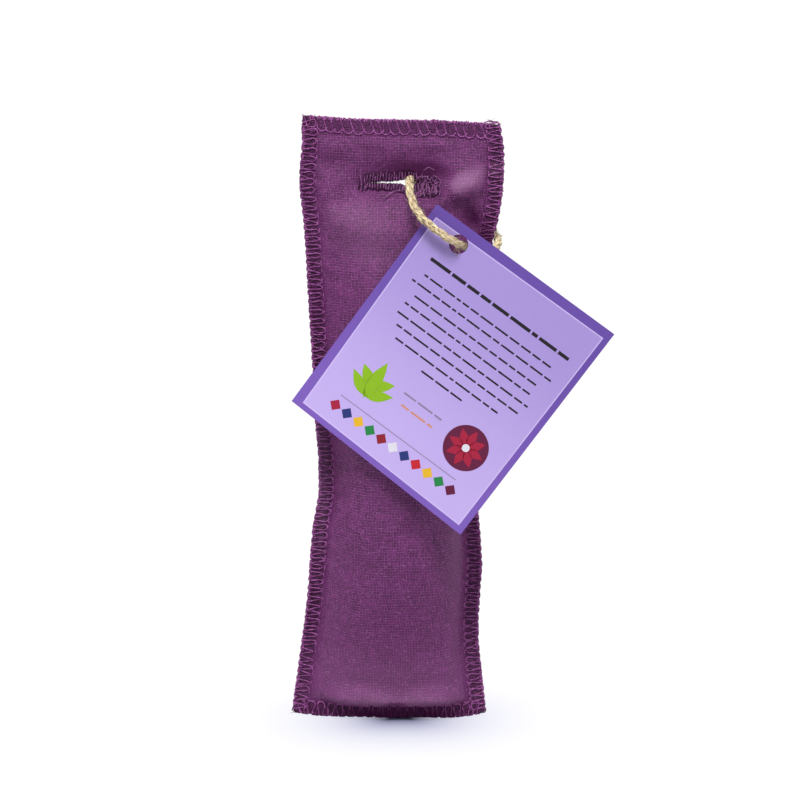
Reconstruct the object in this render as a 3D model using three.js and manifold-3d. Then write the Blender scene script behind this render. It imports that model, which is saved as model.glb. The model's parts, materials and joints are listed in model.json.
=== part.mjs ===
// Scented sachet that stands on its bottom seam: two woven panels overlocked together round a filling of
// seeds and dried flowers, a worked buttonhole for the hook of a coat hanger, and a paper tag on a loop of
// jute twine. Millimetres, +Z up, the front faces -Y, and the origin is the middle of the bottom seam.
import * as THREE from 'three';
import { mergeVertices } from 'three/addons/utils/BufferGeometryUtils.js';
import Module from 'manifold-3d';

// Pouch: the panels' cut size, the cloth, and how far the filling swells them
const pouchHeight = 202.6;
const cutHalfWidth = 33;
const clothThickness = 0.6;
const panelGap = 0.3;
const seamAllowance = 5.2;
const fillThickness = 28;
const neckLength = 67.3;
const topCornerRise = 1.6;
const topCornerDrop = 1.6;

// How it stands: the bottom seam bows so that its ends stand behind its middle
const bowDepth = 10;
const bowHeight = 46;
const standBack = 4.6;
const standHeight = 30;

// Filling: clearance to the cloth, where it starts, how far below the top edge it ends, and its rounded top
const fillClearance = 0.5;
const fillInset = 2.4;
const fillBottom = 10;
const fillHeadroom = 52.6;
const fillTop = pouchHeight - fillHeadroom;
const fillCrown = 26;
const fillRim = 0.4;

// Overlock seam: thread section, how it lies across the allowance, and the stitch length on each side
const threadHalfWidth = 0.3;
const threadHeight = 0.5;
const threadClearance = 0.2;
const looperEdge = 0.9;
const looperTip = 3.4;
const needleLine = 4.35;
const needleRise = 0.22;
const seamEndMargin = 0.8;
const sideStitch = 2.72;
const endStitch = 3.05;

// Buttonhole: the slit, its stitched beads and its bar tacks, and the dip that the twine pulls in its lips
const slitCentreX = 3.6;
const slitDrop = 20.7;
const slitHeight = pouchHeight - slitDrop;
const slitHalfLength = 11.4;
const slitGap = 1.2;
const lowerLipDip = 2.2;
const upperLipRise = 1;
const twineX = 7;
const lipDipWidth = 4.2;
const beadInner = 0.55;
const beadOuter = 2.5;
const beadStitch = 1;
const beadHalfWidth = 0.36;
const beadHeight = 0.6;
const beadClearance = 0.3;
const tackStep = 1;
const tackClearance = 0.95;

// Twine: a thick jute yarn
const twineDiameter = 2.8;
const twineSides = 8;
const twineStep = 2.6;

// Tag: an almost square card, hung by a punched hole near one corner
const tagTopWidth = 71.6;
const tagRightHeight = 82.6;
const tagLeftHeight = 80.5;
const tagRightLean = 1.9;
const tagLeftLean = 0.9;
const tagThickness = 0.5;
const tagHoleRadius = 3.15;
const tagHoleAlong = 13.4;
const tagHoleDown = 6.3;
const tagTurn = THREE.MathUtils.degToRad(-35.2);
const tagYaw = THREE.MathUtils.degToRad(-8);
const tagLean = THREE.MathUtils.degToRad(6);
const tagHoleX = 22.8;
const tagHoleY = -7.8;
const tagHoleBelowSlit = 20.4;

// Facets: cells across and up the panels and the filling
const panelCellsAcross = 14;
const panelCellsUp = 26;
const fillCellsAcross = 10;
const fillCellsUp = 16;
const holeSegments = 10;
const slitSteps = 16;
const cutOverrun = 20;

// Shares: [share of the height, reach of the cut edge as a share of the half width]
const leftEdgeShares = [
  [0, 0.98], [0.08, 0.915], [0.19, 0.83], [0.32, 0.765], [0.4, 0.685], [0.47, 0.725],
  [0.58, 0.755], [0.71, 0.8], [0.82, 0.835], [0.89, 0.88], [0.96, 0.85], [1, 0.86],
];
const rightEdgeShares = [
  [0, 0.975], [0.09, 0.92], [0.135, 0.897], [0.18, 0.905], [0.28, 0.94], [0.34, 0.9],
  [0.4, 0.873], [0.5, 0.91], [0.6, 0.965], [0.72, 1.01], [0.8, 1.03], [0.86, 1.105],
  [0.95, 1.14], [1, 1.1],
];
// Shares: [share of the height between the end seams, swell as a share of the fill thickness]
const swellShares = [
  [0, 0], [0.02, 0.24], [0.05, 0.43], [0.1, 0.64], [0.18, 0.85], [0.28, 0.97], [0.4, 1],
  [0.52, 0.95], [0.65, 0.8], [0.75, 0.56], [0.83, 0.27], [0.89, 0.09], [0.95, 0.06], [1, 0],
];
const neckShare = 0.35;
const swellCrownShare = 2.2;
const swellSideShare = 0.62;
const stretchMost = 2;

const colours = { cloth: 0x6b3b67, thread: 0x7c4a78, seed: 0x7a5a34, twine: 0xc8aa78, card: 0xb4a3df };

const wasm = await Module();
wasm.setup();

function piece(name, geometry, colour, roughness = 0.9) {
  const material = new THREE.MeshStandardMaterial({ color: colour, roughness, metalness: 0 });
  const mesh = new THREE.Mesh(geometry, material);
  mesh.name = name;
  return mesh;
}

const { lerp, clamp, smoothstep } = THREE.MathUtils;

// A smooth curve through the rows of a table of shares
function along(table, share) {
  const at = clamp(share, 0, 1);
  const last = table.length - 2;
  let i = 0;
  while (i < last && at > table[i + 1][0]) i += 1;
  const [x0, y0] = table[i];
  const [x1, y1] = table[i + 1];
  const before = table[Math.max(i - 1, 0)];
  const after = table[Math.min(i + 2, table.length - 1)];
  const span = x1 - x0;
  const slope0 = ((y1 - before[1]) / (x1 - before[0])) * span;
  const slope1 = ((after[1] - y0) / (after[0] - x0)) * span;
  const t = (at - x0) / span;
  const t2 = t * t;
  const t3 = t2 * t;
  const values = (2 * t3 - 3 * t2 + 1) * y0 + (3 * t2 - 2 * t3) * y1;
  const slopes = (t3 - 2 * t2 + t) * slope0 + (t3 - t2) * slope1;
  return values + slopes;
}

// Places 0 to 1 that crowd towards both ends
const crowded = (i, count) => (1 - Math.cos((Math.PI * i) / count)) / 2;

// Stations across or up a panel: the seam allowance is a cell of its own at either end
function station(i, count, margin) {
  if (i === 0) return 0;
  if (i === count) return 1;
  return lerp(margin, 1 - margin, crowded(i - 1, count - 2));
}

// A value up the pouch that runs straight between the panels' rows of facets, so that what lies on them fits
const rowPlaces = Array.from({ length: panelCellsUp + 1 }, (_, r) => (
  station(r, panelCellsUp, seamAllowance / pouchHeight)));
function byRows(valueAt) {
  const values = rowPlaces.map(valueAt);
  return (v) => {
    let r = 0;
    while (r < panelCellsUp - 1 && v > rowPlaces[r + 1]) r += 1;
    return lerp(values[r], values[r + 1], (v - rowPlaces[r]) / (rowPlaces[r + 1] - rowPlaces[r]));
  };
}

// The pouch's outline. u runs 0 to 1 from the left cut edge to the right one, v from the bottom to the top.
const leftEdge = byRows((v) => -cutHalfWidth * along(leftEdgeShares, v));
const rightEdge = byRows((v) => cutHalfWidth * along(rightEdgeShares, v));
const widthAt = (v) => rightEdge(v) - leftEdge(v);
const bowAt = byRows((v) => bowDepth * (1 - smoothstep(v * pouchHeight, 0, bowHeight)));
const backAt = byRows((v) => standBack * smoothstep(v * pouchHeight, 0, standHeight));
function heightAt(u) {
  const offCentre = 2 * u - 1;
  const corner = offCentre < 0 ? topCornerRise : -topCornerDrop;
  return pouchHeight - topCornerRise + corner * offCentre ** 2;
}

// The surface midway between the panels
function middle(u, v) {
  const seat = (panelGap + clothThickness) / 2;
  const y = seat + backAt(v) + bowAt(v) * (2 * u - 1) ** 2;
  return new THREE.Vector3(lerp(leftEdge(v), rightEdge(v), u), y, v * heightAt(u));
}

// Level direction square to that surface, out of the front
const probe = 1e-3;
function outward(u, v) {
  const a = middle(u - probe, v);
  const b = middle(u + probe, v);
  return new THREE.Vector3(b.y - a.y, a.x - b.x, 0).normalize();
}

// Share of the swell table: the slack neck above the filling keeps its length when the height changes
function swellShare(up) {
  const length = pouchHeight - 2 * seamAllowance;
  const fromTop = (1 - up) * length;
  if (fromTop < neckLength) return 1 - (neckShare * fromTop) / neckLength;
  return ((1 - neckShare) * up * length) / (length - neckLength);
}

// Distance between the panels where the filling swells them
function swell(u, v) {
  const side = seamAllowance / widthAt(v);
  const end = seamAllowance / pouchHeight;
  const across = (u - side) / (1 - 2 * side);
  const up = (v - end) / (1 - 2 * end);
  if (across <= 0 || across >= 1 || up <= 0 || up >= 1) return 0;
  const crown = (1 - Math.abs(2 * across - 1) ** swellCrownShare) ** swellSideShare;
  return fillThickness * Math.max(along(swellShares, swellShare(up)), 0) * crown;
}

// How much a slope stretches a thickness that is measured level
function stretch(u, v) {
  if (swell(u, v) < probe) return 1;
  const du = (swell(u + probe, v) - swell(u - probe, v)) / (4 * probe * widthAt(v));
  const dv = (swell(u, v + probe) - swell(u, v - probe)) / (4 * probe * heightAt(u));
  return Math.min(Math.hypot(1, du, dv), stretchMost);
}

const FRONT = 1;
const BACK = -1;

// A point on a panel: depth 0 is its inner face, clothThickness its outer face, and more lies above it
function onPanel(u, v, face, depth) {
  const thickness = Math.min(depth, clothThickness) * stretch(u, v) + Math.max(depth - clothThickness, 0);
  return middle(u, v).addScaledVector(outward(u, v), face * (panelGap / 2 + swell(u, v) / 2 + thickness));
}

// u and v of a place that is given by its x and z
const placeRounds = 4;
function placeOf(x, z) {
  let u = 0.5;
  let v = z / pouchHeight;
  for (let i = 0; i < placeRounds; i += 1) {
    v = z / heightAt(u);
    u = (x - leftEdge(v)) / widthAt(v);
  }
  return { u, v };
}

function geometryOf(points, faces) {
  const geometry = new THREE.BufferGeometry();
  const numbers = points.flatMap((p) => p.toArray());
  geometry.setAttribute('position', new THREE.Float32BufferAttribute(numbers, 3));
  let volume = 0;
  for (const [a, b, c] of faces) {
    volume += new THREE.Vector3().crossVectors(points[a], points[b]).dot(points[c]);
  }
  geometry.setIndex(faces.flatMap(([a, b, c]) => (volume < 0 ? [a, c, b] : [a, b, c])));
  geometry.computeVertexNormals();
  return geometry;
}

// The closed solid between two grids of points with the same rows and columns
function betweenGrids(outer, inner) {
  const rows = outer.length;
  const columns = outer[0].length;
  const points = [...outer.flat(), ...inner.flat()];
  const faces = [];
  const index = (layer, r, c) => layer * rows * columns + r * columns + c;
  const quad = (a, b, c, d) => faces.push([a, b, c], [a, c, d]);
  for (let r = 0; r < rows - 1; r += 1) {
    for (let c = 0; c < columns - 1; c += 1) {
      quad(index(0, r, c), index(0, r, c + 1), index(0, r + 1, c + 1), index(0, r + 1, c));
      quad(index(1, r, c), index(1, r + 1, c), index(1, r + 1, c + 1), index(1, r, c + 1));
    }
  }
  const rim = (r0, c0, r1, c1) => (
    quad(index(0, r0, c0), index(1, r0, c0), index(1, r1, c1), index(0, r1, c1)));
  for (let c = 0; c < columns - 1; c += 1) {
    rim(0, c, 0, c + 1);
    rim(rows - 1, c + 1, rows - 1, c);
  }
  for (let r = 0; r < rows - 1; r += 1) {
    rim(r + 1, 0, r, 0);
    rim(r, columns - 1, r + 1, columns - 1);
  }
  return geometryOf(points, faces);
}

function panelGrid(face, depth) {
  const rows = [];
  for (let r = 0; r <= panelCellsUp; r += 1) {
    const row = [];
    const v = rowPlaces[r];
    for (let c = 0; c <= panelCellsAcross; c += 1) {
      const u = station(c, panelCellsAcross, seamAllowance / widthAt(v));
      row.push(onPanel(u, v, face, depth));
    }
    rows.push(row);
  }
  return rows;
}

function solidOf(geometry) {
  const bare = geometry.clone();
  bare.deleteAttribute('normal');
  bare.deleteAttribute('uv');
  const merged = mergeVertices(bare);
  return new wasm.Manifold(new wasm.Mesh({
    numProp: 3,
    vertProperties: new Float32Array(merged.attributes.position.array),
    triVerts: new Uint32Array(merged.index.array),
  }));
}

function geometryFrom(solid) {
  const { vertProperties, triVerts } = solid.getMesh();
  const geometry = new THREE.BufferGeometry();
  geometry.setAttribute('position', new THREE.BufferAttribute(vertProperties, 3));
  geometry.setIndex(new THREE.BufferAttribute(triVerts, 1));
  geometry.computeVertexNormals();
  return geometry;
}

// The slit's lips: both gape where the twine runs through
const UPPER = 1;
const LOWER = -1;
function lip(x, side) {
  const inSlit = clamp((x - slitCentreX) / slitHalfLength, -1, 1);
  const gapeMost = side === UPPER ? upperLipRise : lowerLipDip;
  const gape = gapeMost * Math.exp(-(((x - twineX) / lipDipWidth) ** 2));
  return slitHeight + side * ((slitGap / 2) * Math.sqrt(1 - inSlit ** 2) + gape * (1 - inSlit ** 2));
}

function slitCutter() {
  const outline = [];
  for (let i = 0; i <= slitSteps; i += 1) {
    const x = slitCentreX - slitHalfLength * Math.cos((Math.PI * i) / slitSteps);
    outline.push(new THREE.Vector2(x, lip(x, LOWER)));
  }
  for (let i = slitSteps - 1; i > 0; i -= 1) {
    const x = slitCentreX - slitHalfLength * Math.cos((Math.PI * i) / slitSteps);
    outline.push(new THREE.Vector2(x, lip(x, UPPER)));
  }
  const options = { depth: 2 * cutOverrun, bevelEnabled: false };
  const cutter = new THREE.ExtrudeGeometry(new THREE.Shape(outline), options);
  return cutter.rotateX(Math.PI / 2).translate(0, cutOverrun, 0);
}

function panel(face) {
  const cloth = solidOf(betweenGrids(panelGrid(face, clothThickness), panelGrid(face, 0)));
  return geometryFrom(cloth.subtract(solidOf(slitCutter())));
}

// The filling: it follows the inner faces, and heaps up to a rounded top
function filling() {
  const grid = (face) => {
    const rows = [];
    for (let r = 0; r <= fillCellsUp; r += 1) {
      const v = lerp(fillBottom, fillTop, crowded(r, fillCellsUp)) / pouchHeight;
      const margin = (seamAllowance + fillInset) / widthAt(v);
      const crown = clamp((v * pouchHeight - fillTop) / fillCrown + 1, 0, 1);
      const row = [];
      for (let c = 0; c <= fillCellsAcross; c += 1) {
        const u = lerp(margin, 1 - margin, crowded(c, fillCellsAcross));
        const room = swell(u, v) / 2 - fillClearance * stretch(u, v);
        const half = Math.max(room * Math.sqrt(1 - crown ** 2), fillRim);
        row.push(middle(u, v).addScaledVector(outward(u, v), face * half));
      }
      rows.push(row);
    }
    return rows;
  };
  return betweenGrids(grid(FRONT), grid(BACK));
}

// A thread laid on a surface: a ridge with a flat foot, mitred at each turn
function threadAlong(points, normals, halfWidth, height) {
  const directions = points.slice(1).map((p, i) => p.clone().sub(points[i]).normalize());
  const rings = points.map((p, i) => {
    const normal = normals[i];
    const before = directions[Math.max(i - 1, 0)];
    const after = directions[Math.min(i, directions.length - 1)];
    const sideBefore = new THREE.Vector3().crossVectors(normal, before).normalize();
    const sideAfter = new THREE.Vector3().crossVectors(normal, after).normalize();
    const mitre = sideBefore.clone().add(sideAfter).normalize();
    const reach = halfWidth / mitre.dot(sideBefore);
    return [
      p.clone().addScaledVector(mitre, -reach),
      p.clone().addScaledVector(normal, height),
      p.clone().addScaledVector(mitre, reach),
    ];
  });
  const sides = rings[0].length;
  const faces = [];
  for (let i = 0; i < rings.length - 1; i += 1) {
    for (let k = 0; k < sides; k += 1) {
      const next = (k + 1) % sides;
      faces.push([i * sides + k, i * sides + next, (i + 1) * sides + next]);
      faces.push([i * sides + k, (i + 1) * sides + next, (i + 1) * sides + k]);
    }
  }
  const end = (rings.length - 1) * sides;
  faces.push([0, 2, 1], [end, end + 1, end + 2]);
  return geometryOf(rings.flat(), faces);
}

// A place in a seam: s runs 0 to 1 along the side, and inset is the distance in from the cut edge
const seamPlace = {
  left: (s, inset) => ({ u: inset / widthAt(s), v: s }),
  right: (s, inset) => ({ u: 1 - inset / widthAt(s), v: s }),
  bottom: (s, inset) => ({ u: s, v: inset / heightAt(s) }),
  top: (s, inset) => ({ u: s, v: 1 - inset / heightAt(s) }),
};

// The side seams run the full height, and the end seams run between their needle lines
function seamRun(side) {
  const upright = side === 'left' || side === 'right';
  const length = upright ? pouchHeight : widthAt(side === 'top' ? 1 : 0);
  const margin = (upright ? seamEndMargin : seamAllowance + seamEndMargin) / length;
  const stitches = Math.round((length * (1 - 2 * margin)) / (upright ? sideStitch : endStitch));
  return { margin, stitches };
}

function seamThread(side, face, steps, margin, laid) {
  const points = [];
  const normals = [];
  for (let i = 0; i <= steps; i += 1) {
    const s = lerp(margin, 1 - margin, i / steps);
    const { inset, rise } = laid(i);
    const { u, v } = seamPlace[side](s, inset);
    points.push(onPanel(u, v, face, clothThickness + threadClearance + rise));
    normals.push(outward(u, v).multiplyScalar(face));
  }
  return threadAlong(points, normals, threadHalfWidth, threadHeight);
}

// The looper thread zigzags between the cut edge and the needle line, once for each stitch
function looperThread(side, face) {
  const { margin, stitches } = seamRun(side);
  const laid = (i) => ({ inset: i % 2 ? looperTip : looperEdge, rise: 0 });
  return seamThread(side, face, 2 * stitches, margin, laid);
}

// The needle thread runs straight and dips into the cloth at each stitch
function needleThread(side) {
  const { margin, stitches } = seamRun(side);
  const laid = (i) => ({ inset: needleLine, rise: i % 2 ? needleRise : 0 });
  return seamThread(side, FRONT, stitches, margin, laid);
}

// The buttonhole's thread: a bead along each lip and a bar tack across each end, in one run
function buttonholeRoute() {
  const strokes = 2 * Math.floor(slitHalfLength / beadStitch) - 1;
  const start = slitCentreX - ((strokes - 1) * beadStitch) / 2;
  const route = [];
  const bead = (side, first, step) => {
    for (let i = 0; i < strokes; i += 1) {
      const x = first + i * step;
      const outFirst = side === UPPER ? i % 2 === 1 : i % 2 === 0;
      const [from, to] = outFirst ? [beadOuter, beadInner] : [beadInner, beadOuter];
      route.push([x, side, from], [x, side, to]);
    }
  };
  const tack = (side, x, step) => {
    route.push([x + 3 * step, side, beadOuter], [x + 3 * step, -side, beadOuter]);
    route.push([x + 2 * step, -side, beadOuter], [x + 2 * step, side, beadOuter - tackClearance]);
    route.push([x + step, side, beadOuter - tackClearance], [x + step, -side, beadOuter]);
  };
  const end = start + (strokes - 1) * beadStitch;
  bead(UPPER, start, beadStitch);
  tack(UPPER, end, tackStep);
  bead(LOWER, end, -beadStitch);
  tack(LOWER, start, -tackStep);
  return route;
}

function buttonholeThread(face) {
  const places = buttonholeRoute().map(([x, side, off]) => placeOf(x, lip(x, side) + side * off));
  const points = places.map(({ u, v }) => onPanel(u, v, face, clothThickness + beadClearance));
  const normals = places.map(({ u, v }) => outward(u, v).multiplyScalar(face));
  return threadAlong(points, normals, beadHalfWidth, beadHeight);
}

// The twine's route: from the knot behind the pouch, through the slit, down the front, through the tag's
// hole, behind the tag and round the pouch's right edge, back to the knot. Heights are from the slit.
const twineRoute = [
  [14.3, 15.1, -6.6], [12, 14, -3.9], [9.4, 11.2, -1.5], [7.4, 7.6, -0.4], [7, 4.2, -0.3],
  [6.8, 0.8, -0.6], [6.8, -2.4, -2.1], [7.2, -5, -4.9], [8.6, -7, -8.5], [11.2, -8.6, -12.1],
  [14.8, -9.8, -15.1], [18.6, -10.5, -17.7], [21.4, -9.9, -19.5], [23.1, -7.6, -20.6], [25, -5.6, -21.4],
  [28.4, -4.6, -22.2], [32, -3.2, -22.7], [34.6, -0.6, -22.5], [35.9, 2.9, -21.8], [36.1, 6.6, -20.7],
  [35.7, 10.1, -19.4], [34.7, 12.7, -18.1], [33, 14.4, -16.9], [30.8, 15.3, -16], [28.6, 15.7, -15.3],
  [26.6, 15.6, -15],
];
const fromSlit = ([x, y, z]) => new THREE.Vector3(x, y, slitHeight + z);
const knotTurn = 1.75;
const knotDepth = 3;
const knotRadius = 1.1;
const knotOpening = 0.75;
const knotPlace = [19.4, 16.2, -10.9];
const knotPoints = 20;
const knotSteps = 56;
const tailRoutes = [
  [[2, 1.9, -3.6], [3.2, 1.6, -7.4], [5, 1, -11]],
  [[-2, -1.6, -3.6], [-2.8, -1.4, -8], [-3.8, -0.6, -12.4]],
];

function tubeAlong(points, radius, steps) {
  const curve = new THREE.CatmullRomCurve3(points, false, 'centripetal');
  const section = new THREE.Shape();
  section.moveTo(radius, 0);
  for (let i = 1; i < twineSides; i += 1) {
    const angle = (2 * Math.PI * i) / twineSides;
    section.lineTo(radius * Math.cos(angle), radius * Math.sin(angle));
  }
  return new THREE.ExtrudeGeometry(section, { steps, bevelEnabled: false, extrudePath: curve });
}

function twineLoop() {
  const points = twineRoute.map(fromSlit);
  const length = new THREE.CatmullRomCurve3(points).getLength();
  return tubeAlong(points, twineDiameter / 2, Math.round(length / twineStep));
}

// An overhand knot: a trefoil's turn, opened at its lowest lobe, where the two cut ends hang out of it
function twineKnot() {
  const turn = (t) => new THREE.Vector3(
    knotTurn * (Math.sin(t) + 2 * Math.sin(2 * t)),
    -knotDepth * Math.sin(3 * t),
    knotTurn * (Math.cos(t) - 2 * Math.cos(2 * t)),
  );
  const open = Math.PI - knotOpening;
  const turns = Array.from({ length: knotPoints + 1 }, (_, i) => turn(lerp(-open, open, i / knotPoints)));
  const [rightEnd, leftEnd] = tailRoutes.map((route) => route.map((p) => new THREE.Vector3(...p)));
  const centre = fromSlit(knotPlace);
  const points = [...rightEnd.reverse(), ...turns, ...leftEnd].map((p) => p.add(centre));
  return tubeAlong(points, knotRadius, knotSteps);
}

function tagCard() {
  const outline = new THREE.Shape();
  outline.moveTo(0, 0);
  outline.lineTo(tagTopWidth, 0);
  outline.lineTo(tagTopWidth - tagRightLean, -tagRightHeight);
  outline.lineTo(-tagLeftLean, -tagLeftHeight);
  outline.closePath();
  const hole = new THREE.Path();
  hole.absarc(tagHoleAlong, -tagHoleDown, tagHoleRadius, 0, 2 * Math.PI);
  outline.holes.push(hole);
  const options = { depth: tagThickness, bevelEnabled: false, curveSegments: holeSegments };
  const card = new THREE.ExtrudeGeometry(outline, options);
  return card.translate(-tagHoleAlong, tagHoleDown, -tagThickness / 2).rotateZ(tagTurn);
}

const sachet = new THREE.Group();

const pouch = new THREE.Group();
pouch.add(piece('front_panel', panel(FRONT), colours.cloth));
pouch.add(piece('back_panel', panel(BACK), colours.cloth));
pouch.add(piece('seed_fill', filling(), colours.seed));
for (const side of ['left', 'right', 'bottom', 'top']) {
  pouch.add(piece(`needle_thread_${side}`, needleThread(side), colours.thread));
  pouch.add(piece(`upper_looper_${side}`, looperThread(side, FRONT), colours.thread));
  pouch.add(piece(`lower_looper_${side}`, looperThread(side, BACK), colours.thread));
}
pouch.add(piece('buttonhole_needle_thread', buttonholeThread(FRONT), colours.thread));
pouch.add(piece('buttonhole_bobbin_thread', buttonholeThread(BACK), colours.thread));
sachet.add(pouch);

const loop = new THREE.Group();
loop.add(piece('twine_loop', twineLoop(), colours.twine));
loop.add(piece('twine_knot', twineKnot(), colours.twine));
sachet.add(loop);

const tag = new THREE.Group();
tag.position.set(tagHoleX, tagHoleY, slitHeight - tagHoleBelowSlit);
tag.rotation.set(Math.PI / 2 - tagLean, 0, tagYaw, 'ZXY');
tag.add(piece('hang_tag', tagCard(), colours.card, 0.6));
sachet.add(tag);

export default sachet;
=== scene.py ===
"""The looks of a lavender sachet: a standing cloth pouch with overlocked edges, a worked buttonhole and a
paper tag on a loop of jute twine. Lengths in this file are millimetres unless a name says otherwise.
+X is to the right as the front is seen, +Y from front to back, +Z up."""

import json
import math

import bpy
import numpy as np
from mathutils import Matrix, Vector
from mathutils.bvhtree import BVHTree


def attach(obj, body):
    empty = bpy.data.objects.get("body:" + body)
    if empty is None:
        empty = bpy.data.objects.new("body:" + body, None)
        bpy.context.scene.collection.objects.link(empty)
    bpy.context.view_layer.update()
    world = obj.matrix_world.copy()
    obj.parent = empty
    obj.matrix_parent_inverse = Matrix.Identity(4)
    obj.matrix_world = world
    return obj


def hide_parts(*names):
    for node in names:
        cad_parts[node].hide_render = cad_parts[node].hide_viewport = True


MM = 0.001
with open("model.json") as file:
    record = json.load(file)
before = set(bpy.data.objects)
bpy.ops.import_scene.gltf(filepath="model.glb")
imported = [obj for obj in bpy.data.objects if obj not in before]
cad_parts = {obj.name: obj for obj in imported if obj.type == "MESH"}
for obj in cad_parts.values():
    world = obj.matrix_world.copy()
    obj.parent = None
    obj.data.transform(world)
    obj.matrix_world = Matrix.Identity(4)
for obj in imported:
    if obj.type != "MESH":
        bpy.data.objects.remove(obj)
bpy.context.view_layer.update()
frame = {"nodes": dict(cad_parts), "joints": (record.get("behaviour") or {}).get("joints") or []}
random = np.random.default_rng(11)


# Objects

def add_object(name, data):
    obj = bpy.data.objects.new(name, data)
    bpy.context.scene.collection.objects.link(obj)
    return obj


def carry(obj, body, node=None):
    """Puts a piece on its body, and in the place of the CAD node that it stands for."""
    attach(obj, body)
    if node:
        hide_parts(node)


# Camera

LENS = 121.5
CAMERA_PLACE_M = (0.0037, -0.8839, 0.2489)
CAMERA_TILT = 81


def make_camera():
    data = bpy.data.cameras.new("camera")
    data.sensor_width = 36
    data.lens = LENS
    data.clip_start = 0.05
    data.clip_end = 30
    camera = add_object("camera", data)
    camera.location = CAMERA_PLACE_M
    camera.rotation_euler = (math.radians(CAMERA_TILT), 0, 0)
    bpy.context.scene.camera = camera


make_camera()


# Materials

def linear(red, green, blue):
    """A colour as the screen shows it, from 0 to 255, as the light that it stands for."""
    parts = [value / 255 for value in (red, green, blue)]
    return tuple(p / 12.92 if p <= 0.04045 else ((p + 0.055) / 1.055) ** 2.4 for p in parts) + (1.0,)


class Value:
    """What a node gives at each point of a surface, so that sums with it can be written plainly."""

    def __init__(self, nodes, socket):
        self.nodes = nodes
        self.socket = socket

    def __add__(self, other):
        return self.nodes.math("ADD", self, other)

    def __sub__(self, other):
        return self.nodes.math("SUBTRACT", self, other)

    def __rsub__(self, other):
        return self.nodes.math("SUBTRACT", other, self)

    def __mul__(self, other):
        return self.nodes.math("MULTIPLY", self, other)

    def __truediv__(self, other):
        return self.nodes.math("DIVIDE", self, other)


class Nodes:
    """A node tree, made by short calls."""

    def __init__(self, tree):
        self.tree = tree

    def put(self, socket, value):
        if isinstance(value, Value):
            self.tree.links.new(value.socket, socket)
        else:
            socket.default_value = value

    def node(self, kind, values=None, out=0, **settings):
        made = self.tree.nodes.new(kind)
        for name, value in settings.items():
            setattr(made, name, value)
        for name, value in (values or {}).items():
            self.put(made.inputs[name], value)
        return Value(self, made.outputs[out])

    def math(self, operation, *values):
        return self.node("ShaderNodeMath", dict(enumerate(values)), operation=operation)


class Shader(Nodes):
    """A material's nodes."""

    def __init__(self, name, roughness, sheen=0.0, specular=0.5, subsurface=0.0):
        self.material = bpy.data.materials.new(name)
        self.material.use_nodes = True
        super().__init__(self.material.node_tree)
        self.skin = self.tree.nodes["Principled BSDF"]
        plain = {
            "Roughness": roughness, "Sheen Weight": sheen, "Sheen Roughness": 0.4,
            "Specular IOR Level": specular,
        }
        if subsurface:
            plain.update({"Subsurface Weight": subsurface, "Subsurface Scale": 0.001})
        for name, value in plain.items():
            self.skin.inputs[name].default_value = value

    def first_two(self, vector):
        made = self.node("ShaderNodeSeparateXYZ", {0: vector}).socket.node
        return Value(self, made.outputs[0]), Value(self, made.outputs[1])

    def lay(self):
        """The two coordinates, in millimetres, that a mesh keeps for its material."""
        return self.first_two(self.node("ShaderNodeUVMap", uv_map="lay"))

    def kept(self, name):
        """A number that the mesh keeps at each point."""
        return self.node("ShaderNodeAttribute", attribute_name=name, out=2)

    def place(self):
        return self.node("ShaderNodeTexCoord", out=3)

    def at(self, x, y, z=0.0):
        return self.node("ShaderNodeCombineXYZ", {0: x, 1: y, 2: z})

    def noise(self, place, scale, detail=2.0, roughness=0.5):
        values = {"Vector": place, "Scale": scale, "Detail": detail, "Roughness": roughness}
        return self.node("ShaderNodeTexNoise", values)

    def speck(self, x, y):
        return self.node("ShaderNodeTexWhiteNoise", {"Vector": self.at(x, y)}, noise_dimensions="2D")

    def span(self, value, low, high, to_low=0.0, to_high=1.0):
        values = {0: value, 1: low, 2: high, 3: to_low, 4: to_high}
        return self.node("ShaderNodeMapRange", values, interpolation_type="SMOOTHSTEP")

    def blend(self, share, first, second):
        return self.node("ShaderNodeMix", {0: share, 2: first, 3: second})

    def mix(self, share, first, second):
        """A blend of two colours."""
        return self.node("ShaderNodeMix", {0: share, 6: first, 7: second}, out=2, data_type="RGBA")

    def bright(self, colour, value):
        return self.node("ShaderNodeHueSaturation", {"Color": colour, "Value": value})

    def add_painted_shading(self, colour):
        """Mixes in the mesh's own painted shading: the colour where it is 0, painted shade (a deep plum)
        where it is 1 and a painted highlight (a pale plum) at -1.
        """
        crease = self.kept("crease")
        # painted highlight: a pale plum where the value is below 0; painted shade: a deep plum where it is
        # above 0
        painted_highlight = self.mix(crease * -1.0, colour, linear(196, 146, 188))
        return self.mix(crease, painted_highlight, linear(78, 0, 72))

    def finish(self, colour, height=None, depth=0.0, strength=1.0):
        """Sets the colour, and the relief of a height that is depth millimetres deep."""
        self.put(self.skin.inputs["Base Color"], colour)
        if height is not None:
            values = {"Height": height, "Distance": depth * MM, "Strength": strength}
            self.put(self.skin.inputs["Normal"], self.node("ShaderNodeBump", values))
        return self.material


WARP_PITCH = 0.52
WEFT_PITCH = 0.45


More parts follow.
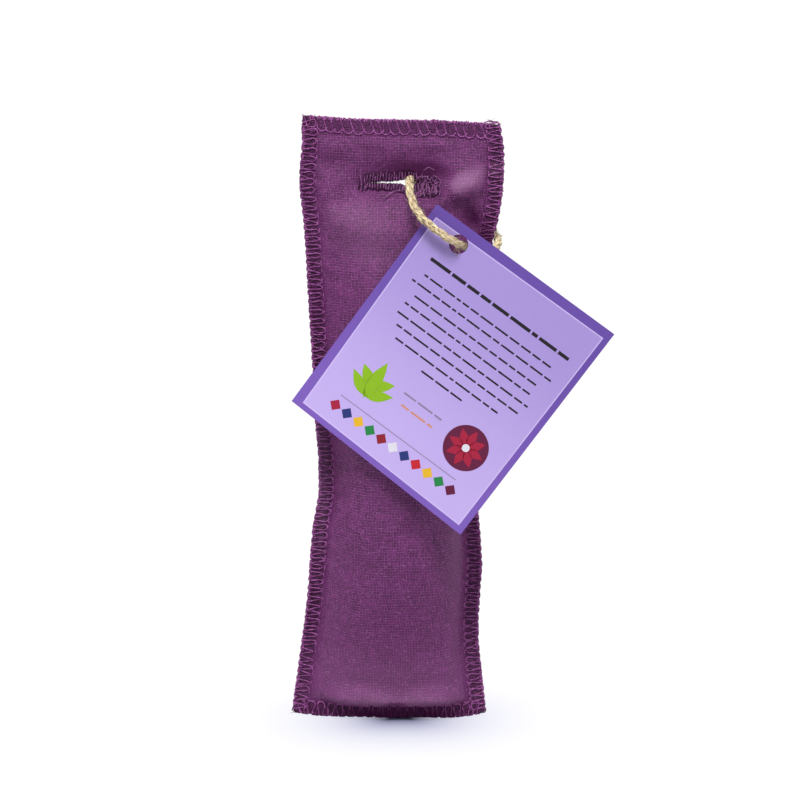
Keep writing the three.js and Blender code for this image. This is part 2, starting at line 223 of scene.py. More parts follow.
def plum_weave():
    """Plain weave: each warp thread passes over one weft thread and under the next."""
    s = Shader("plum_cotton", roughness=0.48, specular=0.28)
    across, up = s.lay()
    wander = s.noise(s.at(across, up), 0.07, 3) * 0.9
    across, up = across + wander, up + wander
    warp_place, weft_place = across / WARP_PITCH, up / WEFT_PITCH
    warp, weft = s.math("FLOOR", warp_place), s.math("FLOOR", weft_place)
    over = s.math("PINGPONG", warp + weft, 1.0)
    warp_round = s.math("SINE", s.math("FRACT", warp_place) * math.pi)
    weft_round = s.math("SINE", s.math("FRACT", weft_place) * math.pi)
    height = s.blend(over, weft_round * (warp_round * 0.6 + 0.4), warp_round * (weft_round * 0.6 + 0.4))
    run_up = s.noise(s.at(warp * 0.9, up * 0.26, 2.0), 1.6)
    run_across = s.noise(s.at(across * 0.22, weft * 0.9, 7.0), 1.6)
    tone = s.blend(over, run_up, run_across)
    warp_seen = s.span(s.noise(s.at(across, up, 1.0), 0.3), 0.3, 0.7, 0.4, 1.0)
    weft_seen = s.span(s.noise(s.at(across, up, 12.0), 0.3), 0.3, 0.7, 0.4, 1.0)
    slub_across = s.span(s.noise(s.at(across * 0.2, up), 1.9, 3), 0.6, 0.74)
    slub_up = s.span(s.noise(s.at(across, up * 0.1, 9.0), 1.7, 3), 0.64, 0.78)
    fleck = s.speck(warp, weft)
    pit = s.span(fleck, 0.88, 0.97)
    glint = s.span(s.speck(weft, warp), 0.9, 0.98)
    cloud = s.noise(s.at(across, up, 5.0), 0.045)
    value = (tone - 0.5) * 0.55 + 1.1 + (fleck - 0.5) * 0.6 + (height - 0.6)
    value = value - s.math("PINGPONG", warp, 1.0) * warp_seen * 0.2
    value = value - s.math("PINGPONG", weft, 1.0) * weft_seen * 0.44
    value = value + slub_across * 0.2 + slub_up * 0.2 - pit * 0.42 + (cloud - 0.5) * 0.1
    worn_flat = s.span(up, 5.0, 80.0, 0.72, 1.0)
    value = (value - 0.9) * worn_flat + 0.9
    colour = s.mix(height * 0.5, linear(107, 37, 102), linear(141, 74, 134))
    colour = s.mix(glint * 0.16, s.bright(colour, value), linear(196, 140, 190))
    # painted shade: the seam allowances, between the threads, darkened towards a deep plum
    colour = s.mix(s.kept("band") * 0.85, colour, linear(56, 0, 50))
    return s.finish(s.add_painted_shading(colour), height, 0.1)


def spun_thread(name, dark, light, roughness):
    """Sewing thread: fine plies wound round each other."""
    s = Shader(name, roughness, specular=0.26)
    along, around = s.lay()
    ply = s.math("SINE", along * 9.0 + around * (2 * math.pi))
    fibre = s.span(s.noise(s.at(along * 0.8, around * 3.0), 3.0, 3), 0.3, 0.7)
    patch = s.span(s.noise(s.at(along * 0.45, 0.0), 1.0), 0.36, 0.64)
    share = (ply * 0.16 + fibre) * (patch * 0.75 + 0.3)
    return s.finish(s.add_painted_shading(s.mix(share, linear(*dark), linear(*light))), ply, 0.05, 0.7)


def jute():
    """Undyed plant fibre: long fibres along each ply, some pale and some brown."""
    s = Shader("jute_fibre", roughness=0.66, sheen=0.12, specular=0.35, subsurface=0.15)
    along, around = s.lay()
    turn = around * 7.0
    strand = s.noise(s.at(along * 0.22, along * 0.9 + turn), 2.2, 4, 0.62)
    patch = s.noise(s.at(along, turn, 3.0), 0.35, 3)
    colour = s.mix(s.span(strand, 0.34, 0.6), linear(88, 50, 16), linear(250, 230, 186))
    colour = s.mix(s.span(patch, 0.54, 0.7, 0.0, 0.6), colour, linear(106, 70, 30))
    return s.finish(colour, strand, 0.35)


def seeds():
    s = Shader("flax_seeds", roughness=0.45)
    cell = s.node("ShaderNodeTexVoronoi", {"Vector": s.place(), "Scale": 420.0})
    tone = s.node("ShaderNodeSeparateColor", {0: Value(s, cell.socket.node.outputs[1])})
    colour = s.mix(tone, linear(96, 58, 28), linear(166, 116, 62))
    colour = s.mix(s.span(tone, 0.86, 0.9), colour, linear(128, 112, 158))
    return s.finish(colour, 1.0 - cell, 0.6, 0.9)


PLUM_CLOTH = plum_weave()
PLUM_THREAD = spun_thread("plum_thread", (80, 8, 74), (204, 118, 196), 0.46)
# A darker copy of the plum thread: painted shade for the fine threads that lie between the seams' loops.
SHADED_THREAD = spun_thread("shaded_thread", (62, 4, 56), (150, 74, 142), 0.46)
# A far darker copy of the thread: painted shade for the buttonhole's lower layer of stitches, between and
# under the strands.
BEAD_BASE = spun_thread("bead_base", (36, 0, 33), (72, 0, 66), 0.6)
BEAD_THREAD = spun_thread("bead_thread", (50, 0, 46), (176, 104, 170), 0.36)
LOOSE_THREAD = spun_thread("loose_thread", (104, 52, 100), (176, 120, 170), 0.55)
PALE_THREAD = spun_thread("pale_thread", (112, 60, 108), (188, 134, 184), 0.55)
JUTE = jute()
SEEDS = seeds()


# Meshes

def grid_faces(numbers):
    """The four-sided faces between a grid's numbered points, in rows and columns."""
    return np.stack([numbers[:-1, :-1], numbers[:-1, 1:], numbers[1:, 1:], numbers[1:, :-1]], axis=-1)


def add_piece(name, points, quads, material, lay=None, smooth=True, **layers):
    """A mesh of four-sided faces. lay gives each point's two coordinates for the material, and each of the
    layers another number."""
    mesh = bpy.data.meshes.new(name)
    quads = np.asarray(quads, int)
    mesh.vertices.add(len(points))
    mesh.vertices.foreach_set("co", (np.asarray(points, float) * MM).ravel())
    mesh.loops.add(quads.size)
    mesh.loops.foreach_set("vertex_index", quads.ravel())
    mesh.polygons.add(len(quads))
    mesh.polygons.foreach_set("loop_start", np.arange(len(quads)) * 4)
    mesh.update(calc_edges=True)
    if lay is not None:
        mesh.uv_layers.new(name="lay").data.foreach_set("uv", np.asarray(lay, float)[quads.ravel()].ravel())
    for layer, values in layers.items():
        mesh.attributes.new(layer, "FLOAT", "POINT").data.foreach_set("value", values)
    mesh.polygons.foreach_set("use_smooth", np.full(len(quads), smooth))
    mesh.materials.append(material)
    return add_object(name, mesh)


def unit(vectors):
    return vectors / np.maximum(np.linalg.norm(vectors, axis=-1, keepdims=True), 1e-9)


def way_along(path):
    """How far along a path each of its places is."""
    return np.concatenate([[0], np.cumsum(np.linalg.norm(np.diff(path, axis=0), axis=1))])


def beside_path(path, first):
    """Directions beside a path and over it, which twist as little as they can."""
    steps = unit(np.gradient(path, axis=0))
    side = unit(np.cross(steps[0], first))
    beside = np.empty_like(path)
    for k, step in enumerate(steps):
        side = side - step * (side @ step)
        side /= np.linalg.norm(side)
        beside[k] = side
    return beside, np.cross(steps, beside)


def sweep(path, radius, sides, start):
    """A tube round a path, narrowed at each end, with coordinates along and around it."""
    path = np.asarray(path, float)
    radius = np.broadcast_to(np.asarray(radius, float), len(path)).copy()
    radius[[0, -1]] *= 0.25
    beside, over = beside_path(path, (0.31, 0.87, 0.39))
    turns = np.linspace(0, 1, sides + 1)
    angle = 2 * math.pi * turns[:, None]
    ring = np.cos(angle) * beside[:, None, :] + np.sin(angle) * over[:, None, :]
    points = path[:, None, :] + ring * radius[:, None, None]
    lay = np.stack(np.broadcast_arrays(way_along(path)[:, None] + start, turns), axis=-1)
    faces = grid_faces(np.arange(lay.size // 2).reshape(lay.shape[:2]))
    return points.reshape(-1, 3), faces.reshape(-1, 4), lay.reshape(-1, 2)


def add_tubes(name, tubes, material, sides=6, creased=False):
    """One piece of many tubes, each given as (path, radius)."""
    points, quads, lay, count = [], [], [], 0
    for k, (path, radius) in enumerate(tubes):
        tube = sweep(path, radius, sides, k * 3.7)
        points.append(tube[0])
        quads.append(tube[1] + count)
        lay.append(tube[2])
        count += len(tube[0])
    points = np.vstack(points)
    # Threads take the same painted shade and highlight as the cloth at their place.
    layers = {"crease": crease_at(points[:, 0], points[:, 2])} if creased else {}
    return add_piece(name, points, np.vstack(quads), material, np.vstack(lay), **layers)


def smooth_path(points, step):
    """The centripetal Catmull-Rom curve through the points, as places about step apart."""
    points = np.asarray(points, float)
    points = np.vstack([2 * points[0] - points[1], points, 2 * points[-1] - points[-2]])
    fine = []
    for k in range(1, len(points) - 2):
        p0, p1, p2, p3 = points[k - 1:k + 3]
        d0, d1, d2 = (np.linalg.norm(b - a) ** 0.5 for a, b in ((p0, p1), (p1, p2), (p2, p3)))
        t1 = ((p1 - p0) / d0 - (p2 - p0) / (d0 + d1) + (p2 - p1) / d1) * d1
        t2 = ((p2 - p1) / d1 - (p3 - p1) / (d1 + d2) + (p3 - p2) / d2) * d1
        t = np.linspace(0, 1, max(2, round(d1 ** 2 / step * 4)))[:-1, None]
        square, cube = 3 * (p2 - p1) - 2 * t1 - t2, 2 * (p1 - p2) + t1 + t2
        fine.append(p1 + t1 * t + square * t ** 2 + cube * t ** 3)
    fine = np.vstack([*fine, points[-2:-1]])
    lengths = way_along(fine)
    wanted = np.linspace(0, lengths[-1], max(3, round(lengths[-1] / step) + 1))
    return np.stack([np.interp(wanted, lengths, fine[:, k]) for k in range(3)], axis=1)


# Twine

SLIT_HEIGHT = 181.9
TWINE_DIAMETER = 2.8
TWINE_ROUTE = (
    (14.3, 15.1, -6.6), (12, 14, -3.9), (9.4, 11.2, -1.5), (7.4, 7.6, -0.4), (7, 4.2, -0.3),
    (6.8, 0.8, -0.6), (6.8, -2.4, -2.1), (7.2, -5, -4.9), (8.6, -7, -8.5), (11.2, -8.6, -12.1),
    (14.8, -9.8, -15.1), (18.6, -10.5, -17.7), (21.4, -9.9, -19.5), (23.1, -7.6, -20.6), (25, -5.6, -21.4),
    (28.4, -4.6, -22.2), (32, -3.2, -22.7), (34.6, -0.6, -22.5), (35.9, 2.9, -21.8), (36.1, 6.6, -20.7),
    (35.7, 10.1, -19.4), (34.7, 12.7, -18.1), (33, 14.4, -16.9), (30.8, 15.3, -16), (28.6, 15.7, -15.3),
    (26.6, 15.6, -15), (24.9, 15.8, -14.1), (23.2, 16.1, -12.9),
)
KNOT_PLACE = (19.4, 16.2, -10.9)
KNOT_TURN = 1.75
KNOT_DEPTH = 3.0
KNOT_OPENING = 0.75
KNOT_YARN_DIAMETER = 2.35
KNOT_YARN_LAY = 10.0
KNOT_TAILS = (
    ((2, 1.9, -3.6), (3.2, 1.6, -7.4), (5, 1, -11)),
    ((-2, -1.6, -3.6), (-2.8, -1.4, -8), (-3.8, -0.6, -12.4)),
)
TWINE_PLIES = 3
TWINE_LAY = 15.0


def from_slit(points):
    return np.asarray(points, float) + (0, 0, SLIT_HEIGHT)


def plies(path, diameter, lay):
    """The plies of a twine, wound round its path."""
    beside, over = beside_path(path, (0.2, 0.3, 0.93))
    way = way_along(path)
    radius = diameter * 0.26
    for k in range(TWINE_PLIES):
        angle = 2 * math.pi * (way / lay + k / TWINE_PLIES) + 0.25 * np.sin(way * 0.9 + 2 * k)
        around = np.cos(angle)[:, None] * beside + np.sin(angle)[:, None] * over
        swell = 1 + 0.07 * np.sin(way * 1.7 + 2.1 * k) + 0.05 * np.sin(way * 4.3 + k)
        yield path + around * (diameter / 2 - radius), radius * swell


def hairs(path, radius, count, length):
    """Loose fibres that stand off a twine."""
    steps = unit(np.gradient(path, axis=0))
    t = np.linspace(0, 1, 6)[:, None]
    for _ in range(count):
        k = random.integers(2, len(path) - 2)
        out = unit(np.cross(steps[k], random.normal(size=3)))
        ahead = steps[k] * random.choice((-1, 1))
        long = length * random.uniform(0.35, 1)
        curl = random.normal(size=3) * 0.22
        hair = path[k] + out * radius * 0.85 + (out * 0.5 * t + ahead * t ** 0.8 + curl * t ** 2) * long
        yield hair, np.linspace(0.05, 0.018, 6)


def tufts(path):
    """The frayed fibres at a twine's two cut ends."""
    t = np.linspace(0, 1, 6)[:, None]
    for end, before in ((path[0], path[4]), (path[-1], path[-5])):
        out = unit(end - before)
        for _ in range(46):
            spread = np.cross(out, random.normal(size=3)) * 0.5
            start = end + spread * 0.9 - out * 0.8
            yield start + (out * t + spread * t ** 2) * random.uniform(0.8, 2.2), np.linspace(0.09, 0.03, 6)


def hole_fibres():
    """Fibres that the punched hole has rubbed off the twine."""
    hole = from_slit((22.2, -8.9, -21.6))
    t = np.linspace(-1, 1, 8)[:, None]
    for _ in range(6):
        turn = random.uniform(0, math.pi)
        way = np.array((math.cos(turn), -0.15 * math.cos(turn), math.sin(turn)))
        place = hole + random.normal(0, 0.7, 3) * (1, 0.15, 1)
        yield place + way * t * random.uniform(1.2, 2.4) + random.normal(0, 0.3, 3) * (1 - t * t), 0.07


def knot_curve():
    """An overhand knot between its two tails."""
    open_angle = math.pi - KNOT_OPENING
    turn = np.linspace(-open_angle, open_angle, 21)
    knot = np.stack([
        KNOT_TURN * (np.sin(turn) + 2 * np.sin(2 * turn)),
        -KNOT_DEPTH * np.sin(3 * turn),
        KNOT_TURN * (np.cos(turn) - 2 * np.cos(2 * turn)),
    ], axis=1)
    return smooth_path(np.vstack([KNOT_TAILS[0][::-1], knot, KNOT_TAILS[1]]) + from_slit(KNOT_PLACE), 0.4)


def make_twine():
    route = smooth_path(from_slit(TWINE_ROUTE), 0.45)
    knot = knot_curve()
    loop = add_tubes("twine_yarn", plies(route, TWINE_DIAMETER, TWINE_LAY), JUTE, sides=10)
    knot_yarn = add_tubes("knot_yarn", plies(knot, KNOT_YARN_DIAMETER, KNOT_YARN_LAY), JUTE, sides=10)
    frayed = [*tufts(knot), *hole_fibres()]
    loose = [*hairs(route, TWINE_DIAMETER / 2, 330, 2.4), *hairs(knot, 1.2, 90, 2.2), *frayed]
    fibres = add_tubes("jute_fibres", loose, JUTE, sides=4)
    carry(loop, "twine", "twine_loop")
    carry(knot_yarn, "twine", "twine_knot")
    carry(fibres, "twine")
    round(float(way_along(route)[-1]) * MM, 4)


make_twine()


# The pouch's form, read from the frame

NEEDLE_LINE = 4.35
EDGE_REST = 0.5
BAND_STEPS = (0.0, 0.9, 1.9, 2.9, 3.75)
COLUMNS = 46
ROWS_BELOW_SLIT = 140
ROWS_ABOVE_SLIT = 14
SLIT_CENTRE = 3.6
SLIT_HALF = 11.4
SLIT_GAP = 1.2
TWINE_X = 7.0
PRESSED_HEIGHT = 161.4
PRESSED_REACH = 4.2
PRESSED_IN = 0.6
CLOTH_THICKNESS = 0.45
SLIT_DEPTH = 5.0
SOFTENED_BY = (2.2, 2.4)


def frame_surface(name):
    mesh = frame["nodes"][name].data
    points = np.array([v.co for v in mesh.vertices]) / MM
    return points, [tuple(p.vertices) for p in mesh.polygons]


def crossings(points, faces, axis, across, levels):
    """The least and greatest coordinate along across where a surface meets each level of axis."""
    edges = np.array(sorted({tuple(sorted((f[k], f[k - 1]))) for f in faces for k in range(len(f))}))
    a, b = points[edges[:, 0]], points[edges[:, 1]]
    low, high = [], []
    for level in levels:
        crossed = (a[:, axis] - level) * (b[:, axis] - level) < 0
        first, second = a[crossed], b[crossed]
        t = (level - first[:, axis]) / (second[:, axis] - first[:, axis])
        found = first[:, across] + t * (second[:, across] - first[:, across])
        low.append(found.min())
        high.append(found.max())
    return np.array(low), np.array(high)


def blur(field, across, up):
    """A soft blur of a grid, by its steps across and up, that keeps the grid's edge."""
    def along(values, sigma, axis):
        reach = int(3 * sigma) + 1
        weights = np.exp(-0.5 * (np.arange(-reach, reach + 1) / sigma) ** 2)
        weights /= weights.sum()
        pads = [(0, 0), (0, 0)]
        pads[axis] = (reach, reach)
        padded = np.pad(values, pads, mode="reflect", reflect_type="odd")
        return np.apply_along_axis(lambda line: np.convolve(line, weights, "valid"), axis, padded)
    return along(along(field, across, 1), up, 0)


class Outline:
    """The pouch's four edges: x of the sides at a height, z of the ends at an x."""

    def __init__(self):
        points, faces = frame_surface("front_panel")
        self.top = points[:, 2].max()
        self.heights = np.linspace(2.5, self.top - 3.5, 120)
        left, right = crossings(points, faces, 2, 0, self.heights)
        self.left, self.right = left, right
        self.low_xs = np.linspace(left[0] + 1.2, right[0] - 1.2, 60)
        self.high_xs = np.linspace(left[-1] + 1.2, right[-1] - 1.2, 60)
        self.low = crossings(points, faces, 0, 2, self.low_xs)[0]
        self.high = crossings(points, faces, 0, 2, self.high_xs)[1]

    @staticmethod
    def reach(x, xs, ys):
        """Linear between the samples and straight on past them."""
        x = np.asarray(x, float)
        inside = np.interp(x, xs, ys)
        before = ys[0] + (x - xs[0]) * (ys[3] - ys[0]) / (xs[3] - xs[0])
        after = ys[-1] + (x - xs[-1]) * (ys[-1] - ys[-4]) / (xs[-1] - xs[-4])
        return np.where(x < xs[0], before, np.where(x > xs[-1], after, inside))

    def left_at(self, z):
        return self.reach(z, self.heights, self.left)

    def right_at(self, z):
        """The twine presses the right edge in a little where it goes round it."""
        pressed = PRESSED_IN * np.exp(-((np.asarray(z) - PRESSED_HEIGHT) / PRESSED_REACH) ** 2)
        return self.reach(z, self.heights, self.right) - pressed

    def low_at(self, x):
        return np.maximum(self.reach(x, self.low_xs, self.low), 0) + EDGE_REST

    def high_at(self, x):
        return self.reach(x, self.high_xs, self.high)


outline = Outline()


def pouch_grid():
    """Where each row and column of the cloth meets, as x and z, with the slit's row and the inner part."""
    band = np.array(BAND_STEPS)
    slit_share = (SLIT_HEIGHT - NEEDLE_LINE) / (outline.top - 2 * NEEDLE_LINE)
    inner_across = np.linspace(0, 1, COLUMNS + 1)
    inner_up = np.concatenate([
        np.linspace(0, slit_share, ROWS_BELOW_SLIT + 1),
        np.linspace(slit_share, 1, ROWS_ABOVE_SLIT + 1)[1:],
    ])
    count_across = 2 * len(band) + len(inner_across)
    count_up = 2 * len(band) + len(inner_up)
    z = np.repeat(np.linspace(0, outline.top, count_up)[:, None], count_across, axis=1)
    for _ in range(6):
        left, right = outline.left_at(z), outline.right_at(z)
        x = np.empty_like(z)
        n = len(band)
        x[:, :n] = left[:, :n] + band
        x[:, -n:] = right[:, -n:] - band[::-1]
        inside = slice(n, -n)
        from_left = left[:, inside] + NEEDLE_LINE
        to_right = right[:, inside] - NEEDLE_LINE
        x[:, inside] = from_left + (to_right - from_left) * inner_across
        low, high = outline.low_at(x), outline.high_at(x)
        z[:n] = low[:n] + band[:, None]
        z[-n:] = high[-n:] - band[::-1, None]
        from_low = low[inside] + NEEDLE_LINE
        to_high = high[inside] - NEEDLE_LINE
        z[inside] = from_low + (to_high - from_low) * inner_up[:, None]
    return x, z, len(band) + ROWS_BELOW_SLIT, len(band)


def cast(tree, x, z, facing):
    """How deep a face lies at x, z, as seen from in front (facing -1) or from behind (1), or None."""
    hit = tree.ray_cast(Vector((x, facing * 200, z)), Vector((0, -facing, 0)))[0]
    return None if hit is None else hit.y


def depth_of(name, x, z, facing):
    """How deep a panel's outer face lies at each grid point."""
    points, faces = frame_surface(name)
    tree = BVHTree.FromPolygons([tuple(p) for p in points], faces)
    y = np.full(x.shape, np.nan)
    middle_x = x.mean()
    for place in np.ndindex(x.shape):
        px, pz = x[place], z[place]
        if abs(pz - SLIT_HEIGHT) < 3.6 and abs(px - SLIT_CENTRE) < SLIT_HALF + 0.6:
            continue
        for nudge in (0.0, 0.25, 0.6, 1.2):
            qx = px + (middle_x - px) / abs(middle_x - px + 1e-9) * nudge
            qz = pz + (-1 if pz > 100 else 1) * nudge * (min(pz, outline.top - pz) < 8)
            depth = cast(tree, qx, qz, facing)
            if depth is not None:
                y[place] = depth
                break
    for column in range(x.shape[1]):
        known = ~np.isnan(y[:, column])
        y[:, column] = np.interp(z[:, column], z[known, column], y[known, column])
    return y


# The front's soft folds: x, z, half length, half width, slope in degrees, height out of the cloth
FRONT_FOLDS = (
    (7, 181.6, 12, 4.2, -2, -3.0),
    (-11, 168.0, 15, 6.6, -10, 3.4),
    (10, 173.5, 8, 4.2, -24, 1.2),
    (23.5, 178.0, 10, 4.4, 20, 3.3),
    (29.5, 164.4, 11, 3.8, -50, -3.4),
    (21, 190.5, 9, 3.2, 14, -0.9),
    (-19, 186, 9, 3.6, 14, -1.0),
    (-22, 176, 9, 3.4, 48, 1.0),
    (2, 195.0, 22, 3.2, -2, 1.1),
    (-22, 194, 7, 3.0, -40, 0.7),
    (-12, 120, 26, 5, 78, 0.35),
    (6, 62, 30, 6, 84, 0.3),
    (-9, 44, 22, 5, 96, -0.25),
    (20, 30, 20, 4, 80, 0.3),
    (-24, 96, 12, 3, 68, -0.6),
    (24, 88, 12, 3, 106, -0.6),
    (-19, 26, 18, 2.8, 96, 0.7),
    (21.5, 28, 16, 2.6, 84, 0.7),
    (3, 7.6, 3.4, 3.0, 90, -1.3),
    (-13, 8.6, 12, 3.4, 0, 1.9),
    (17, 8.2, 13, 3.4, 0, 2.0),
)
BACK_FOLDS = (
    (3.6, 182.2, 15, 5, 0, -1.8),
    (-8, 168, 15, 6, 6, 1.2),
    (22, 172, 11, 4, -48, -1.2),
    (-17, 185, 9, 3.5, 10, -0.7),
    (8, 110, 26, 5, 98, 0.35),
    (-10, 60, 30, 6, 84, 0.3),
    (-4, 11, 5, 3.2, 90, -0.8),
    (15.6, 158.5, 7, 5, 90, -1.5),
)
TUCK_MIDDLE = 2.0
TUCK_HALF = 22.0
TUCK_DEPTH = 0.6
OVERHANG = 2.8
OVERHANG_DROP = 1.3
CLOTH_GAP = 1.1
LEFT_END_FORWARD = 2.7
RIGHT_END_FORWARD = 4.4
FORWARD_FADE = 24


# Painted shade in creases, round the buttonhole and under the belly, and painted highlight (less than 0) on
# slopes that face the lamps and on the belly's underside: x, z, half length, half width, slope in degrees,
# share
PAINTED_SHADE_AND_HIGHLIGHT = (
    (9.5, 185.4, 9, 1.7, -4, 0.5),
    (15.5, 185.6, 5, 2.6, -14, 0.6),
    (4.5, 181.6, 14.5, 3.6, -3, 0.45),
    (14, 177.2, 6, 2.6, 16, 0.6),
    (29.8, 165.2, 8, 3.6, -50, 0.85),
    (17, 176, 6, 3, -30, 0.3),
    (0, 191.0, 24, 6.5, 0, 0.17),
    (-10, 170.5, 12, 5.2, -8, -0.1),
    (22.5, 180.4, 12.5, 3.2, 21, -0.34),
    (-21, 184.5, 8, 8, 0, 0.16),
    (-8, 160.5, 10, 7.0, -12, -0.08),
    (-16, 143, 11, 16, 70, 0.14),
    (-22, 72, 30, 3.0, 90, -0.1),
    (23, 70, 36, 3.0, 90, -0.14),
    (0, 14, 24, 10, 0, -0.09),
    (2, 6.6, 22, 1.9, 0, -0.22),
    (2.4, 1.4, 21, 2.4, 0, 1.0),
    (2.0, 5.0, 3.4, 1.2, 0, 0.7),
)


def mound(x, z, middle_x, middle_z, long, wide, slope, power=2):
    """A long soft hill, 1 at its middle."""
    turn = math.radians(slope)
    along = (x - middle_x) * math.cos(turn) + (z - middle_z) * math.sin(turn)
    beside = -(x - middle_x) * math.sin(turn) + (z - middle_z) * math.cos(turn)
    return np.exp(-((along / long) ** power) - (beside / wide) ** 2)


# How much painted shade (above 0) and painted highlight (below 0) each place gets, from the table of painted
# shade and highlight.
def crease_at(x, z):
    lost, pale = np.ones_like(x), np.zeros_like(x)
    for *hill, share in PAINTED_SHADE_AND_HIGHLIGHT:
        lost = lost * (1 - max(share, 0) * mound(x, z, *hill, power=4))
        pale = pale + max(-share, 0) * mound(x, z, *hill)
    return 1 - lost - pale


def fold_field(x, z, folds):
    return sum(height * mound(x, z, *hill) for *hill, height in folds)


def ease(share):
    """From 0 to 1 with a soft start and end."""
    share = np.clip(share, 0, 1)
    return share * share * (3 - 2 * share)


def puckers(x, z, distance):
    """Small gathers that the seams draw into the cloth beside them."""
    phase = z * 2 * math.pi / 7.9 + 1.3 * np.sin(z * 0.21) + x * 0.35
    fade = np.exp(-((distance - 2.4) / 2.6) ** 2)
    return 0.26 * np.sin(phase) * fade + 0.16 * np.sin(z * 2 * math.pi / 13.3 + 2 * x) * fade


def cloth_forms():
    x, z, slit_row, band = pouch_grid()
    front = depth_of("front_panel", x, z, -1)
    back = depth_of("back_panel", x, z, 1)
    inside = (slice(band, -band), slice(band, -band))
    front_soft, back_soft = front.copy(), back.copy()
    front_soft[inside] = blur(front[inside], *SOFTENED_BY)
    back_soft[inside] = blur(back[inside], *SOFTENED_BY)
    edge = np.minimum.reduce([
        x - outline.left_at(z), outline.right_at(z) - x, z - outline.low_at(x), outline.high_at(x) - z,
    ])
    return x, z, front_soft, back_soft, slit_row, band, edge


def straighten(x, above_end):
    """How far the ends of the bottom seam come forward, so that it bows less than when it was sewn."""
    ends = LEFT_END_FORWARD * ease((-8 - x) / 18) + RIGHT_END_FORWARD * ease((x - 6) / 18)
    return ends * np.exp(-(above_end / FORWARD_FADE) ** 2)


def fold(front, back, x, z, edge):
    """Adds the folds and gathers to the settled cloths, and tucks the bottom seam under the belly."""
    distance = np.maximum(edge - NEEDLE_LINE, 0)
    rise = ease(distance / 4.5)
    front[..., 1] -= fold_field(x, z, FRONT_FOLDS) * rise + puckers(x, z, distance)
    back[..., 1] += fold_field(x, z, BACK_FOLDS) * rise + puckers(x + 9, z + 4, distance)
    overlap = blur(np.maximum(0, front[..., 1] + CLOTH_GAP - back[..., 1]), 1.2, 1.2) * rise
    back[..., 1] += 1.15 * overlap
    above_end = z - outline.low_at(x)
    middle = np.exp(-((x - TUCK_MIDDLE) / TUCK_HALF) ** 6)
    bend = np.clip(1 - above_end / (NEEDLE_LINE + 2.2), 0, 1) ** 0.8
    for cloth in (front, back):
        cloth[..., 1] += TUCK_DEPTH * middle * bend
        cloth[..., 1] -= straighten(x, above_end)
    hang = np.exp(-((above_end - NEEDLE_LINE - 2.6) / 3.0) ** 2) * np.clip((above_end - 3.4) / 1.4, 0, 1)
    front[..., 1] -= OVERHANG * hang * middle
    front[..., 2] -= OVERHANG_DROP * hang * middle


cloth_x, cloth_z, front_y, back_y, slit_row, band_count, cloth_edge = cloth_forms()


# Cloth simulation: the two cloths, sewn together round their edge, blown out by the filling

SIM_SCALE = 25.0
SIM_FRAMES = 22
SIM_CAP = 1.4
SIM_START = 0.94
FILLED_TO = 152
FILLED_FADE = 6
CLOTH_SETTINGS = {
    "quality": 6, "mass": 0.3, "tension_stiffness": 18, "compression_stiffness": 12, "shear_stiffness": 6,
    "bending_stiffness": 0.35, "tension_damping": 12, "compression_damping": 12, "shear_damping": 12,
    "bending_damping": 1.0, "air_damping": 4, "vertex_group_mass": "held", "pin_stiffness": 5,
    "shrink_min": -0.018, "use_pressure": True, "uniform_pressure_force": 1.4,
    "vertex_group_pressure": "push",
}


def sewn_pair(x, z, front, back):
    """The grid's two faces as one closed mesh, and how its points go with the grid's."""
    number = np.arange(x.size).reshape(x.shape)
    rim = np.ones(x.shape, bool)
    rim[1:-1, 1:-1] = False
    behind = np.where(rim, number, 0)
    behind[~rim] = x.size + np.arange((~rim).sum())
    points = np.stack([x, front, z], axis=-1).reshape(-1, 3)
    points = np.vstack([points, np.stack([x, back, z], axis=-1)[~rim]])
    quads = np.vstack([grid_faces(number).reshape(-1, 4), grid_faces(behind).reshape(-1, 4)[:, ::-1]])
    return points, quads, number, behind, rim


def settle(x, z, front, back):
    """How far each point of the two cloths moves out or in when the filling's push and the seams' pull
    settle, in the grid's own order."""
    middle = (front + back) / 2
    start_front = middle + (front - middle) * SIM_START
    start_back = middle + (back - middle) * SIM_START
    points, quads, number, behind, rim = sewn_pair(x, z, start_front, start_back)
    obj = add_piece("pouch_trial", points * SIM_SCALE, quads, PLUM_CLOTH)
    held = obj.vertex_groups.new(name="held")
    push = obj.vertex_groups.new(name="push")
    for index in number[rim]:
        held.add([int(index)], 1.0, "REPLACE")
    near_slit = np.exp(-((z - SLIT_HEIGHT) / 3.0) ** 2) * (np.abs(x - SLIT_CENTRE) < SLIT_HALF + 1.5)
    firm = np.where(near_slit > 0.05, near_slit, 0)
    filled = 1 / (1 + np.exp((z - FILLED_TO) / FILLED_FADE))
    for grid in (number, behind):
        for index, weight, full in zip(grid.ravel(), firm.ravel(), filled.ravel()):
            if weight > 0:
                held.add([int(index)], float(min(1, weight * 1.2)), "REPLACE")
            push.add([int(index)], float(0.12 + 0.88 * full), "REPLACE")
    cloth = obj.modifiers.new("cloth", "CLOTH")
    for name, value in CLOTH_SETTINGS.items():
        setattr(cloth.settings, name, value)
    cloth.settings.effector_weights.gravity = 0
    cloth.collision_settings.use_collision = False
    cloth.collision_settings.use_self_collision = False
    scene = bpy.context.scene
    for number_of_frame in range(1, SIM_FRAMES + 1):
        scene.frame_set(number_of_frame)
    settled = obj.evaluated_get(bpy.context.evaluated_depsgraph_get()).to_mesh()
    places = np.empty(len(settled.vertices) * 3)
    settled.vertices.foreach_get("co", places)
    places = places.reshape(-1, 3) / MM / SIM_SCALE
    bpy.data.objects.remove(obj)
    scene.frame_set(1)
    return places[number], places[behind]


def capped(moved, start, most):
    off = moved - start
    long = np.linalg.norm(off, axis=-1, keepdims=True)
    return start + off * np.minimum(1, most / np.maximum(long, 1e-9))


